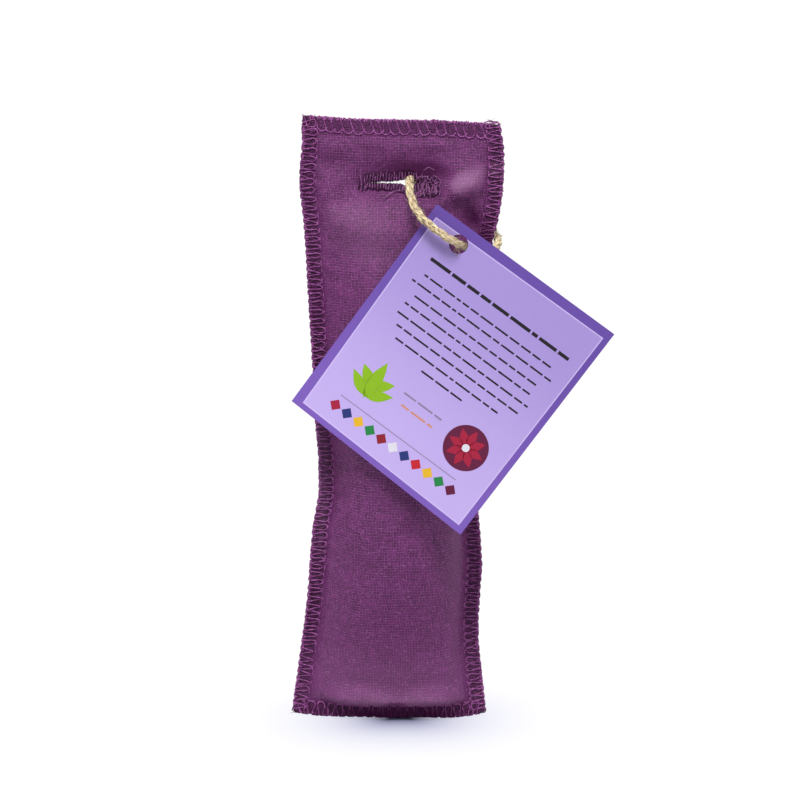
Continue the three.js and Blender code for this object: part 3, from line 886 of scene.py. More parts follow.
def lips(x):
    """How far the slit's lower and upper lip open at x."""
    in_slit = np.clip((x - SLIT_CENTRE) / SLIT_HALF, -1, 1)
    opening = 1 - in_slit ** 2
    by_twine = np.exp(-((x - TWINE_X) / 2.2) ** 2)
    over_twine = np.exp(-((x - TWINE_X) / 3.4) ** 2)
    even = 1.1 * SLIT_GAP / 2 * np.sqrt(opening) / (1 + np.exp((x - TWINE_X - 1.5) / 0.5))
    return even + 1.4 * by_twine * opening, even + 0.95 * over_twine * opening


def cloth_piece(name, places, facing):
    """One cloth: its grid with the slit cut and opened."""
    body_x, body_y, body_z = (places[..., axis].copy() for axis in range(3))
    number = np.arange(body_x.size).reshape(body_x.shape)
    open_down, open_up = lips(body_x)
    fade = np.exp(-np.abs(body_z - body_z[slit_row]) / 4.5)
    row = np.arange(len(body_x))[:, None]
    places[..., 2] += fade * (np.where(row > slit_row, open_up, 0) - np.where(row < slit_row, open_down, 0))
    cut = np.flatnonzero(np.abs(body_x[slit_row] - SLIT_CENTRE) < SLIT_HALF)
    extra = (slit_row, cut)
    upper = places[extra].copy()
    upper[:, 2] += open_up[extra]
    places[slit_row, cut, 2] -= open_down[extra]
    above_number = number.copy()
    above_number[extra] = body_x.size + np.arange(len(cut))
    quads = np.vstack([
        grid_faces(number)[:slit_row].reshape(-1, 4), grid_faces(above_number)[slit_row:].reshape(-1, 4),
    ])
    if facing > 0:
        quads = quads[:, ::-1]
    across = np.cumsum(np.hypot(np.diff(body_x, axis=1, prepend=body_x[:, :1]),
                                np.diff(body_y, axis=1, prepend=body_y[:, :1])), axis=1)
    across *= across[:, -1].mean() / across[:, -1:]
    up = np.cumsum(np.hypot(np.diff(body_z, axis=0, prepend=body_z[:1]),
                            np.diff(body_y, axis=0, prepend=body_y[:1])), axis=0)
    up *= up[-1].mean() / up[-1:]
    up = up * 0.25 + up.mean(axis=1, keepdims=True) * 0.75
    lay = np.stack([across, up], axis=-1)
    # Painted shade on the seam allowances between the threads, half as strong along the top seam.
    band = 1 / (1 + np.exp((cloth_edge - NEEDLE_LINE + 0.1) / 0.35))
    from_sides = np.minimum(body_x - outline.left_at(body_z), outline.right_at(body_z) - body_x)
    band *= 1 - 0.5 * (body_z > 150) / (1 + np.exp((NEEDLE_LINE - from_sides) / 0.3))
    # Painted shade in the groove beside the needle line, joined with the table's painted shade and
    # highlight, which is weaker on the back cloth.
    needle_line_shade = 0.5 * np.exp(-((cloth_edge - NEEDLE_LINE - 0.35) / 0.7) ** 2)
    crease = 1 - (1 - needle_line_shade) * (1 - crease_at(body_x, body_z) * (1 if facing < 0 else 0.6))
    return add_piece(
        name, np.vstack([places.reshape(-1, 3), upper]), quads, PLUM_CLOTH,
        np.vstack([lay.reshape(-1, 2), lay[extra]]),
        band=np.append(band, band[extra]), crease=np.append(crease, crease[extra]),
    )


def thicken(obj):
    """Gives a cloth its thickness, inwards, and rounds it once."""
    rounding = obj.modifiers.new("rounding", "SUBSURF")
    rounding.levels = rounding.render_levels = 1
    rounding.boundary_smooth = "PRESERVE_CORNERS"
    thickness = obj.modifiers.new("thickness", "SOLIDIFY")
    thickness.thickness = CLOTH_THICKNESS * MM
    thickness.offset = -1
    thickness.use_even_offset = False


def make_cloths():
    x, z = cloth_x, cloth_z
    front = np.stack([x, front_y, z], axis=-1)
    back = np.stack([x, back_y, z], axis=-1)
    inside = (slice(band_count, -band_count), slice(band_count, -band_count))
    settled_pair = settle(x[inside], z[inside], front_y[inside], back_y[inside])
    edge = np.clip((cloth_edge[inside] - NEEDLE_LINE) / 3, 0, 1)[..., None]
    for places, settled in zip((front, back), settled_pair):
        off = (capped(settled, places[inside], SIM_CAP) - places[inside]) * edge
        for axis in range(3):
            off[..., axis] = blur(off[..., axis], 1.4, 1.4) * edge[..., 0]
        places[inside] += off
    fold(front, back, x, z, cloth_edge)
    pieces = []
    for side, places, facing in (("front", front, -1), ("back", back, 1)):
        obj = cloth_piece(f"{side}_cloth", places, facing)
        carry(obj, "pouch", f"{side}_panel")
        pieces.append(obj)
    return pieces


front_cloth, back_cloth = make_cloths()


def tree_of(obj):
    points = [tuple(np.array(v.co) / MM) for v in obj.data.vertices]
    return BVHTree.FromPolygons(points, [tuple(p.vertices) for p in obj.data.polygons])


FACES = {-1: tree_of(front_cloth), 1: tree_of(back_cloth)}
for cloth_object in (front_cloth, back_cloth):
    thicken(cloth_object)


def cloth_y(x, z, facing):
    """How deep the cloth's outer face lies at x, z; past the edge, the nearest depth inside it."""
    x = min(max(x, float(outline.left_at(z)) + 0.25), float(outline.right_at(z)) - 0.25)
    z = min(max(z, float(outline.low_at(x)) + 0.25), float(outline.high_at(x)) - 0.25)
    for nudge in (0, 0.3, 0.8, 1.6, 2.6):
        away = -nudge if 100 < z <= SLIT_HEIGHT else nudge
        depth = cast(FACES[facing], x, z + away, facing)
        if depth is not None:
            return depth
    return SLIT_DEPTH


# Overlock seams

SIDE_STITCH = 2.66
END_STITCH = 3.05
THREAD_RADIUS = 0.21
NEEDLE_LIFT = 0.16
SIDES = {
    "left": (SIDE_STITCH, lambda s, d: (outline.left_at(s) + d, s)),
    "right": (SIDE_STITCH, lambda s, d: (outline.right_at(s) - d, s)),
    "bottom": (END_STITCH, lambda s, d: (s, outline.low_at(s) + d)),
    "top": (END_STITCH, lambda s, d: (s, outline.high_at(s) - d)),
}
# A stitch of the looper, as shares of its length along the seam, millimetres in from the edge and up.
# Where the thread is slack it lies as a round loop, where it is tight as a narrow point.
ROUND = (
    (-0.42, -0.3, -0.5), (0.0, -0.3, -0.4), (0.28, 0.0, 0.12), (0.24, 1.2, 0.22), (0.1, 2.5, 0.22),
    (0.04, 3.5, 0.2), (0.2, 4.3, 0.18), (0.5, 4.55, 0.16), (0.8, 4.3, 0.18), (0.96, 3.5, 0.2),
    (0.9, 2.5, 0.22), (0.74, 1.2, 0.22), (0.68, 0.0, 0.12),
)
POINTED = (
    (-0.3, -0.3, -0.5), (-0.04, -0.3, -0.4), (0.08, 0.1, 0.14), (0.2, 1.3, 0.24), (0.31, 2.6, 0.22),
    (0.38, 3.5, 0.2), (0.44, 4.15, 0.18), (0.5, 4.4, 0.16), (0.56, 4.15, 0.18), (0.63, 3.5, 0.2),
    (0.7, 2.6, 0.22), (0.8, 1.3, 0.24), (0.9, 0.1, 0.14),
)
SCALLOP = (
    (-0.5, -0.2, -0.5), (-0.4, 0.3, 0.06), (-0.24, 1.7, 0.0), (-0.08, 3.2, 0.02), (0.05, 4.1, 0.2),
    (0.28, 4.62, 0.26), (0.56, 4.66, 0.26), (0.8, 4.3, 0.22), (0.95, 3.7, 0.16), (0.98, 3.2, -0.3),
    (0.9, 2.4, -0.5), (0.74, 1.2, -0.5), (0.6, 0.2, -0.5),
)
# How pointed the stitches are along each seam: places along it and shares
POINTED_AT = {
    "left": ((0, 50, 60, 130, 140, 170, 180, 203), (0.9, 0.8, 0.3, 0.2, 0.6, 0.8, 0.25, 0.1)),
    "right": ((0, 30, 50, 60, 150, 203), (0.1, 0.15, 0.5, 0.8, 0.9, 0.95)),
    "bottom": ((-30, 30), (0.1, 0.2)),
    "top": ((-30, 30), (0.0, 0.0)),
}


def seam_run(side):
    """Where a seam's stitches start and end along it, how long each is and how many there are."""
    if side in ("left", "right"):
        low, high = 1.6, outline.top - 1.8
    else:
        z = 2 if side == "bottom" else 200
        low, high = float(outline.left_at(z)) + 1.6, float(outline.right_at(z)) - 1.6
    count = int((high - low) / SIDES[side][0])
    return low, high, (high - low) / count, count


def seam_point(side, facing, s, d, up):
    """A place on a seam: s along it, d in from the cloth's edge and up off the cloth."""
    x, z = SIDES[side][1](s, d)
    x, z = float(x), float(z)
    if up < 0:
        return x, (cloth_y(x, z, -1) + cloth_y(x, z, 1)) / 2 + facing * (-up) * 0.3, z
    return x, cloth_y(x, z, facing) + facing * up, z


def drift(s, phase, sizes=(1.0, 0.7, 0.5), waves=(19.0, 7.3, 3.9)):
    """A slow unevenness along a seam, about -1 to 1."""
    return sum(size * math.sin(s * 2 * math.pi / wave + phase * (k + 1)) for k, (size, wave)
               in enumerate(zip(sizes, waves))) / sum(sizes)


def stitch_shape(side, s):
    if side == "top":
        return SCALLOP
    share = float(np.interp(s, *POINTED_AT[side])) + 0.35 * drift(s, 2.1)
    share = min(1.0, max(0.0, share))
    return tuple(
        tuple(a + (b - a) * share for a, b in zip(first, second)) for first, second in zip(ROUND, POINTED))


def looper(side, facing):
    low, _, pitch, count = seam_run(side)
    places = []
    phase = 1.7 * facing + {"left": 0.4, "right": 2.2, "bottom": 3.9, "top": 5.1}[side]
    for k in range(count):
        s0 = low + (k + 0.16 * drift(low + k * pitch, phase) + random.normal(0, 0.04)) * pitch
        lean = 0.2 * drift(s0, phase + 1.3) + random.normal(0, 0.05)
        reach = 1 + 0.05 * drift(s0, phase + 2.6) + random.normal(0, 0.03)
        for share, inset, up in stitch_shape(side, s0):
            s = s0 + (share + lean * inset / NEEDLE_LINE) * pitch
            wander = random.normal(0, 0.035)
            places.append(seam_point(side, facing, s, inset * (reach if inset > 1 else 1) + wander, up))
    return smooth_path(places, 0.42)


def needle_run(side, facing):
    """The needle thread's short stitches along the seam, each a little proud of the cloth."""
    low, _, pitch, count = seam_run(side)
    shares = np.linspace(-0.36, 0.36, 7)
    lifts = NEEDLE_LIFT * np.cos(shares * math.pi / 0.86)
    runs = []
    for k in range(count):
        s = low + (k + 0.5 + random.normal(0, 0.06)) * pitch
        inset = NEEDLE_LINE + 0.3 + random.normal(0, 0.09)
        slope = random.normal(0, 0.12)
        path = [seam_point(side, facing, s + share * pitch, inset + slope * share, lift)
                for share, lift in zip(shares, lifts)]
        runs.append((path, THREAD_RADIUS * random.uniform(0.7, 0.95)))
    return runs


def seam_filling(side, facing):
    """The fine slanting threads between the loops: the other looper's and the cloth's own cut ends."""
    s, high, _, _ = seam_run(side)
    strokes = []
    while s < high:
        start = random.uniform(-0.2, 2.4)
        reach = random.uniform(1.0, 2.6)
        slant = random.normal(0.35, 0.4)
        bow = random.normal(0, 0.12)
        path = [seam_point(side, facing, s + slant * t + bow * math.sin(math.pi * t),
                           min(start + reach * t, NEEDLE_LINE - 0.1), 0.02 + 0.12 * math.sin(math.pi * t))
                for t in np.linspace(0, 1, 6)]
        strokes.append((path, random.uniform(0.09, 0.17)))
        s += random.uniform(0.3, 0.75)
    return strokes


def edge_knots(side):
    """Where the two loopers lock round the cloth's edge: short slanting wraps and a lumpy line of knots."""
    low, high, pitch, count = seam_run(side)
    wraps = []
    for k in range(count):
        for part in (0.02, 0.36, 0.68):
            start = low + (k + part + random.normal(0, 0.08)) * pitch
            lean = random.normal(0.3, 0.18) * pitch
            out = 0.1 + abs(random.normal(0, 0.13))
            reach = random.uniform(0.5, 1.1)
            path = []
            for t in np.linspace(0, 1, 7):
                s = start + lean * t
                front, back = (seam_point(side, facing, s, reach, 0.2)[1] for facing in (-1, 1))
                x, z = SIDES[side][1](s, reach - (reach + out) * math.sin(math.pi * t))
                path.append((float(x), front + (back - front) * (1 - math.cos(math.pi * t)) / 2, float(z)))
            wraps.append((path, THREAD_RADIUS * random.uniform(0.9, 1.35)))
    knots = []
    s = low
    while s < high:
        x, y, z = seam_point(side, -1, s, 0.05 + random.normal(0, 0.12), -0.2)
        knots.append((x, y + random.normal(0, 0.25), z))
        s += random.uniform(0.7, 1.2)
    return [*wraps, (smooth_path(knots, 0.4), 0.3)]


def make_seams():
    for side in SIDES:
        for name, node, tubes, material in (
            ("upper_thread", "upper_looper", [(looper(side, -1), THREAD_RADIUS)], PLUM_THREAD),
            ("lower_thread", "lower_looper", [(looper(side, 1), THREAD_RADIUS)], PLUM_THREAD),
            ("needle_run", "needle_thread", needle_run(side, -1) + needle_run(side, 1), PLUM_THREAD),
            ("edge_wraps", None, edge_knots(side), PLUM_THREAD),
            ("seam_filling", None, seam_filling(side, -1) + seam_filling(side, 1), SHADED_THREAD),
        ):
            obj = add_tubes(f"{name}_{side}", tubes, material, creased=True)
            carry(obj, "pouch", node and f"{node}_{side}")


def frayed_corners():
    """Cut thread ends and the cloth's own loose threads at the four corners."""
    threads = []
    t = np.linspace(0, 1, 9)[:, None]
    for across, up, x, z, count, length in (
        (-1, 1, outline.left_at(199), outline.high_at(-31), 22, 1.7),
        (1, 1, outline.right_at(199), outline.high_at(31), 26, 2.4),
        (-1, -1, outline.left_at(3), outline.low_at(-28), 12, 1.8),
        (1, -1, outline.right_at(3), outline.low_at(28), 12, 1.8),
    ):
        x, z = float(x), float(z)
        y = (cloth_y(x - across * 2, z - up * 2, -1) + cloth_y(x - across * 2, z - up * 2, 1)) / 2
        for _ in range(count):
            inwards = random.uniform(0, 4.5)
            along = random.random() < 0.5
            start = np.array([x - across * (inwards if along else 0.5), y + random.uniform(-0.9, 0.9),
                              z - up * (0.5 if along else inwards)])
            out = np.array([across * random.uniform(0.0, 1), random.uniform(-0.6, 0.6),
                            up * random.uniform(0.0, 1)])
            curl = random.normal(size=3) * 0.6
            long = length * random.uniform(0.25, 1)
            path = start + (out * t + curl * t ** 2 * 0.6 + np.cross(out, curl) * np.sin(t * 4) * 0.2) * long
            path[:, 2] = np.maximum(path[:, 2], 0.15)
            threads.append((path, np.linspace(0.075, 0.03, 9)))
    carry(add_tubes("frayed_corners", threads, PALE_THREAD, sides=5), "pouch")


make_seams()
frayed_corners()


# Buttonhole

BEAD_INNER = -0.25
BEAD_OUTER = 2.6
BEAD_STITCH = 0.9


def slit_middle(x):
    return float(cloth_z[slit_row, int(np.argmin(np.abs(cloth_x[slit_row] - x)))])


def lip_height(x, side):
    down, up = lips(x)
    return slit_middle(x) + float(up if side > 0 else -down)


def over_cloth(xs, zs, lifts, facing, looked_at=None):
    """A path that stands off the cloth's outer face. The face is found at looked_at, beside the slit."""
    looked_at = zs if looked_at is None else looked_at
    ys = [cloth_y(x, at, facing) + facing * lift for x, at, lift in zip(xs, looked_at, lifts)]
    return np.stack([xs, ys, zs], axis=1)


def crumple(x):
    """How much the buttonhole's right end is crumpled and sags, from 0 to 1."""
    return min(1.0, max(0.0, (x - 5) / 6))


def satin_stroke(x, side, facing, inner, outer, slant, rise):
    """One stitch across a bead, arched over the cloth."""
    base = lip_height(x, side)
    t = np.linspace(0, 1, 8)
    reach = inner + (outer - inner) * t
    lifts = 0.1 + rise * np.sin(math.pi * (0.1 + 0.84 * t)) ** 0.7
    looked_at = base + side * np.maximum(0.25, reach)
    return over_cloth(x + slant * (t - 0.5), base + side * reach, lifts, facing, looked_at)


def bead(side, facing):
    """The stitches of one side of the slit: a dense layer in painted shade, and the slack strands that lie
    over it.
    """
    base, strands = [], []
    x = SLIT_CENTRE - SLIT_HALF + 0.2
    while x < SLIT_CENTRE + SLIT_HALF - 0.2:
        loose = crumple(x) * (1 if facing < 0 else 0.4)
        sag = 1.9 * loose - 0.5 + 0.04 * (x - SLIT_CENTRE)
        width = BEAD_OUTER + (0.3 - 0.4 * loose if side > 0 else sag)
        for step in (0, BEAD_STITCH / 2):
            base.append((satin_stroke(
                x + step, side, facing, BEAD_INNER - abs(random.normal(0, 0.2)),
                width + random.normal(0, 0.15), random.normal(0.15 * side, 0.12 + 0.4 * loose), 0.4), 0.28))
        strands.append((satin_stroke(
            x + BEAD_STITCH / 2, side, facing, BEAD_INNER - abs(random.normal(0, 0.12)) + 0.2 * loose,
            width * random.uniform(0.7, 1.08), random.normal(0.3 * side, 0.3 + 0.6 * loose),
            0.78 + random.normal(0, 0.12) + 0.35 * loose), 0.2 * random.uniform(0.8, 1.2)))
        x += BEAD_STITCH * random.uniform(0.8, 1.15)
    return base, strands


def tangle(facing):
    """The crumpled right end: stitches that lie across each other in every direction."""
    strokes = []
    t = np.linspace(-1, 1, 8)
    arch = 1 - t * t
    for _ in range(30 if facing < 0 else 12):
        x = random.uniform(7, SLIT_CENTRE + SLIT_HALF + 1.6)
        middle = lip_height(min(x, SLIT_CENTRE + SLIT_HALF - 0.5), -1)
        z = middle + random.uniform(-3.6, 2.2)
        turn = random.uniform(0, math.pi)
        long = random.uniform(1.2, 2.8)
        bow = random.normal(0, 0.5)
        xs = x + long / 2 * t * math.cos(turn) - bow * arch * math.sin(turn)
        zs = z + long / 2 * t * math.sin(turn) + bow * arch * math.cos(turn)
        looked_at = np.where(np.abs(zs - middle) > 0.5, zs, middle - 0.6)
        path = over_cloth(xs, zs, 0.2 + 0.75 * arch, facing, looked_at)
        strokes.append((path, 0.22 * random.uniform(0.8, 1.2)))
    return strokes


def end_tacks(facing):
    strokes = []
    t = np.linspace(-1, 1, 12)
    for end in (-1, 1):
        for k in range(5):
            x = SLIT_CENTRE + end * (SLIT_HALF - 0.6 + 0.62 * k)
            middle = slit_middle(x)
            reach = 2.6 + random.normal(0, 0.25)
            xs = x + 0.3 * t * (-1) ** k + [random.normal(0, 0.05) for _ in t]
            zs = middle + reach * t - (1.2 if end > 0 else 0.2)
            looked_at = np.where(np.abs(zs - middle) > 0.5, zs, middle + 0.6)
            path = over_cloth(xs, zs, 0.15 + 0.6 * np.cos(t * 1.45), facing, looked_at)
            strokes.append((path, 0.26 * random.uniform(0.85, 1.15)))
    return strokes


def slit_teeth(facing):
    """Fine threads that reach into the slit from its two lips."""
    strokes = []
    for _ in range(26):
        x = random.uniform(SLIT_CENTRE - SLIT_HALF + 1, TWINE_X - 1)
        side = random.choice((-1, 1))
        base = lip_height(x, side)
        long = random.uniform(0.4, 1.2)
        y = cloth_y(x, base + side * 0.4, facing)
        t = np.linspace(0, 1, 5)
        xs = x + random.normal(0, 0.3) * t
        path = np.stack([xs, np.full(5, y), base + side * (0.3 - long * t)], axis=1)
        strokes.append((path, np.linspace(0.16, 0.06, 5)))
    return strokes


def make_buttonhole():
    for facing, name, node in (
        (-1, "buttonhole_front", "buttonhole_needle_thread"),
        (1, "buttonhole_back", "buttonhole_bobbin_thread"),
    ):
        upper_base, upper_strands = bead(1, facing)
        lower_base, lower_strands = bead(-1, facing)
        tacks = end_tacks(facing)
        base = upper_base + lower_base + tacks[::2]
        strands = upper_strands + lower_strands + tangle(facing) + tacks[1::2] + slit_teeth(facing)
        carry(add_tubes(name, base, BEAD_BASE), "pouch", node)
        carry(add_tubes(f"{name}_strands", strands, BEAD_THREAD), "pouch")


# Loose ends at the buttonhole's front: start and end as x and z, and how far the middle stands off
LOOSE_ENDS = (
    ((-2, 176.2), (4.5, 178.4), 0.5), ((8.6, 177.0), (12.6, 180.4), 0.8),
    ((9.4, 176.4), (13.4, 179.0), 0.8), ((11.4, 184.9), (15.1, 185.5), 0.9),
    ((14.2, 178.4), (16.4, 180.6), 0.8), ((10.0, 183.0), (13.5, 181.6), 0.9),
)


def make_loose_ends():
    threads = []
    t = np.linspace(0, 1, 14)
    for (x0, z0), (x1, z1), stand in LOOSE_ENDS:
        zs = z0 + (z1 - z0) * t + 0.5 * np.sin(t * math.pi * 2 + x0)
        lifts = 0.75 + stand * 0.5 * np.sin(math.pi * t)
        threads.append((over_cloth(x0 + (x1 - x0) * t, zs, lifts, -1), 0.16))
    carry(add_tubes("buttonhole_loose_ends", threads, LOOSE_THREAD, sides=5), "pouch")


make_buttonhole()
make_loose_ends()


# Filling

def make_filling():
    points, faces = frame_surface("seed_fill")
    mesh = bpy.data.meshes.new("flax_and_flowers")
    mesh.from_pydata((points * MM).tolist(), [], faces)
    mesh.update()
    normals = np.array([v.normal for v in mesh.vertices])
    points = points - normals * random.uniform(1.4, 1.9, len(points))[:, None]
    points[:, 1] -= straighten(points[:, 0], points[:, 2])
    mesh.vertices.foreach_set("co", (points * MM).ravel())
    mesh.materials.append(SEEDS)
    mesh.polygons.foreach_set("use_smooth", np.full(len(mesh.polygons), True))
    carry(add_object("flax_and_flowers", mesh), "pouch", "seed_fill")


make_filling()


# Tag

CARD_THICKNESS = 0.5
HOLE_RADIUS = 3.15
HOLE_ALONG = 13.4
HOLE_DOWN = 6.3
CARD_CORNERS = ((0.0, 0.0), (71.6, 0.0), (69.8, 82.6), (-1.0, 80.5))
PANEL_CORNERS = ((2.2, 3.5), (69.5, 3.1), (67.6, 80.4), (2.3, 78.7))


def tag_frame():
    """The hole's centre on the printed face, the card's two directions, and its normal to the viewer."""
    joint = [j for j in frame["joints"] if j["name"] == "tag_swing"][0]
    hole = np.array(joint["pos_m"]) / MM
    normal = unit(np.array(joint["axis"]))
    off = frame_surface("hang_tag")[0] - hole
    front = off[off @ normal > (off @ normal).mean()]
    corners = front[np.linalg.norm(front, axis=1) > HOLE_RADIUS + 1]
    top_left = corners[np.argmin(np.linalg.norm(corners, axis=1))]
    along = unit(corners[np.argmax(corners[:, 0])] - top_left)
    down = np.cross(along, normal)
    if down[2] > 0:
        down = -down
    return hole + normal * (off @ normal).max(), along, down, normal


tag_hole, tag_along, tag_down, tag_normal = tag_frame()


def on_card(along, down, up=0.0):
    """A place on the card, from its top left corner; up is off its printed face."""
    a, d = np.asarray(along, float) - HOLE_ALONG, np.asarray(down, float) - HOLE_DOWN
    curl = 0.22 * (np.sin(a / 38) ** 2) * np.sign(a) + 0.1 * np.sin(d / 26)
    away = np.minimum(1, np.hypot(a, d) / 20)
    up = np.asarray(up, float) + curl * away * 0.8
    return tag_hole + a[..., None] * tag_along + d[..., None] * tag_down + up[..., None] * tag_normal


def sides_of(corners):
    return zip(corners, corners[1:] + corners[:1])


def lilac_card():
    """The card's printed face: a violet border round a lilac panel that pales towards the bottom."""
    s = Shader("printed_card", roughness=0.5, specular=0.4)
    along, down = s.lay()
    inside = None
    for (x0, y0), (x1, y1) in sides_of(PANEL_CORNERS):
        long = math.hypot(x1 - x0, y1 - y0)
        a, b = -(y1 - y0) / long, (x1 - x0) / long
        away = along * a + down * b - (a * x0 + b * y0)
        inside = s.math("MINIMUM", inside, away) if inside else away
    edge_line = s.span(inside, -0.02, 0.1) * s.span(inside, 0.28, 0.5, 1.0, 0.0)
    lower = s.span(down, 8.0, 80.0)
    grain = s.noise(s.at(along, down), 2.6, 4, 0.6)
    fine = s.noise(s.at(along, down, 4.0), 9.0, 3, 0.6)
    lilac = s.mix(lower, linear(158, 138, 202), linear(190, 169, 228))
    violet = s.mix(lower, linear(98, 70, 156), linear(120, 88, 178))
    colour = s.mix(s.span(inside, -0.05, 0.05), violet, lilac)
    colour = s.mix(edge_line * 0.6, colour, linear(212, 198, 238))
    tone = (grain - 0.5) * 0.12 + 1.0 + (fine - 0.5) * 0.08
    return s.finish(s.bright(colour, tone), fine, 0.02, 0.4)


def card_stock(name, colour):
    s = Shader(name, roughness=0.75, specular=0.3)
    fibre = s.noise(s.place(), 1400.0, 4, 0.6)
    return s.finish(s.bright(colour, (fibre - 0.5) * 0.12 + 1.0), fibre, 0.02, 0.5)


def ink(name, colour):
    s = Shader(name, roughness=0.5, specular=0.4)
    speckle = s.noise(s.place(), 2600.0, 3, 0.6)
    return s.finish(s.bright(colour, (speckle - 0.5) * 0.18 + 1.0))


def card_rays():
    """Angles round the hole, with the four corners' own among them."""
    angles = set(np.round(np.linspace(-math.pi, math.pi, 97)[:-1], 5))
    for x, y in CARD_CORNERS:
        exact = math.atan2(y - HOLE_DOWN, x - HOLE_ALONG)
        angles = {a for a in angles if abs(a - exact) > 0.02} | {exact}
    return np.array(sorted(angles))


def edge_reach(angle):
    """How far the card's edge lies from the hole's centre in a direction."""
    best = 1e9
    dx, dy = math.cos(angle), math.sin(angle)
    for (x0, y0), (x1, y1) in sides_of(CARD_CORNERS):
        ex, ey = x1 - x0, y1 - y0
        wide = dx * ey - dy * ex
        if abs(wide) < 1e-9:
            continue
        t = ((x0 - HOLE_ALONG) * ey - (y0 - HOLE_DOWN) * ex) / wide
        s = ((x0 - HOLE_ALONG) * dy - (y0 - HOLE_DOWN) * dx) / wide
        if t > 0 and -1e-6 <= s <= 1 + 1e-6:
            best = min(best, t)
    return best


def make_card():
    angles = card_rays()
    reaches = np.array([edge_reach(a) for a in angles])
    shares = np.linspace(0, 1, 18)[:, None] ** 1.4
    rings = HOLE_RADIUS + (reaches - HOLE_RADIUS) * shares
    along = HOLE_ALONG + rings * np.cos(angles)
    down = HOLE_DOWN + rings * np.sin(angles)
    points = np.vstack([on_card(along, down, up).reshape(-1, 3) for up in (0.0, -CARD_THICKNESS)])
    lay = np.stack([along, down], axis=-1).reshape(-1, 2)
    number = np.arange(rings.size).reshape(rings.shape)
    number = np.hstack([number, number[:, :1]])
    face = grid_faces(number).reshape(-1, 4)
    hole_wall, edge_wall = (
        grid_faces(np.stack([number[ring], number[ring] + rings.size])).reshape(-1, 4) for ring in (0, -1)
    )
    quads = np.vstack([face[:, ::-1], face + rings.size, hole_wall, edge_wall[:, ::-1]])
    obj = add_piece("tag_card", points, quads, lilac_card(), np.vstack([lay, lay]), smooth=False)
    obj.data.materials.append(card_stock("card_back", linear(206, 190, 232)))
    obj.data.materials.append(card_stock("card_edge", linear(96, 70, 150)))
    kinds = np.repeat([0, 1, 2], [len(face), len(face), 2 * len(angles)])
    obj.data.polygons.foreach_set("material_index", kinds)
    carry(obj, "tag", "hang_tag")


PRINT_UP = 0.025
PETALS_UP = 0.04
ROSETTE_MIDDLE_UP = 0.055


def print_patches(name, patches, material, up=PRINT_UP):
    """Thin printed areas: each patch is a four-cornered area on the card, laid as a small grid."""
    points, quads, count = [], [], 0
    for corners in patches:
        a, b, c, d = np.asarray(corners, float)
        steps = max(1, int(np.linalg.norm(b - a) / 4))
        t = np.linspace(0, 1, steps + 1)[:, None]
        line = np.vstack([a + (b - a) * t, d + (c - d) * t])
        points.append(on_card(line[:, 0], line[:, 1], up))
        k = np.arange(steps)
        quads.append(np.stack([k, k + steps + 1, k + steps + 2, k + 1], axis=-1) + count)
        count += len(line)
    carry(add_piece(name, np.vstack(points), np.vstack(quads), material, smooth=False), "tag")


def oblong(x, y, wide, high):
    return ((x, y), (x + wide, y), (x + wide, y + high), (x, y + high))


def bars(start, end, down, high, longest=6.0):
    """A row of plain bars of uneven lengths."""
    patches = []
    x = start
    while x < end - 1.2:
        wide = min(random.uniform(1.4, longest), end - x)
        patches.append(oblong(x, down - high / 2, wide, high))
        x += wide + 0.8
    return patches


def leaf_shape(x, y, long, wide, turn, steps=10):
    """A pointed leaf from x, y in a direction, as narrow four-sided strips."""
    turn = math.radians(turn)
    ahead, beside = np.array([math.cos(turn), math.sin(turn)]), np.array([-math.sin(turn), math.cos(turn)])
    t = np.linspace(0, 1, steps + 1)[:, None]
    spine = np.array([x, y]) + ahead * (t * long)
    half = beside * (wide / 2 * np.sin(math.pi * t ** 0.85))
    return [(*(spine + half)[k:k + 2], *(spine - half)[k:k + 2][::-1]) for k in range(steps)]


def disc_patches(x, y, radius, sides=48):
    """A disc, as slices from its middle."""
    angles = np.linspace(0, 2 * math.pi, sides + 1)
    rim = [(x + radius * math.cos(a), y + radius * math.sin(a)) for a in angles]
    return [((x, y), first, second, (x, y)) for first, second in zip(rim[:-1], rim[1:])]


def diamond(x, y, half):
    return ((x - half, y), (x, y - half), (x + half, y), (x, y + half))


# Rows of bars: from, to, and how far down the card
BAR_ROWS = (
    (10.2, 62.4, 20.9), (7.8, 64.0, 24.5), (11.6, 60.9, 28.4), (10.3, 62.2, 32.0), (10.1, 62.9, 35.8),
    (12.3, 61.5, 39.4), (14.6, 58.0, 43.2), (27.9, 44.3, 46.9),
)
DIAMOND_INKS = (
    "crimson", "navy", "yellow", "green", "maroon", "white", "navy", "red", "yellow", "green", "plum",
)
DIAMOND_ROW = (11.5, 72.8)
DIAMOND_STEP = 4.7
ROSETTE = (54.5, 58.6)
SPRIG = (17.5, 65.4)
INKS = {
    "black": (24, 18, 26), "red": (190, 28, 42), "yellow": (224, 176, 38), "maroon": (136, 22, 38),
    "white": (216, 212, 224), "navy": (34, 48, 112), "green": (28, 128, 64), "plum": (94, 14, 56),
    "crimson": (160, 20, 56), "leaf": (134, 178, 20), "grey": (136, 122, 154), "orange": (206, 138, 100),
}


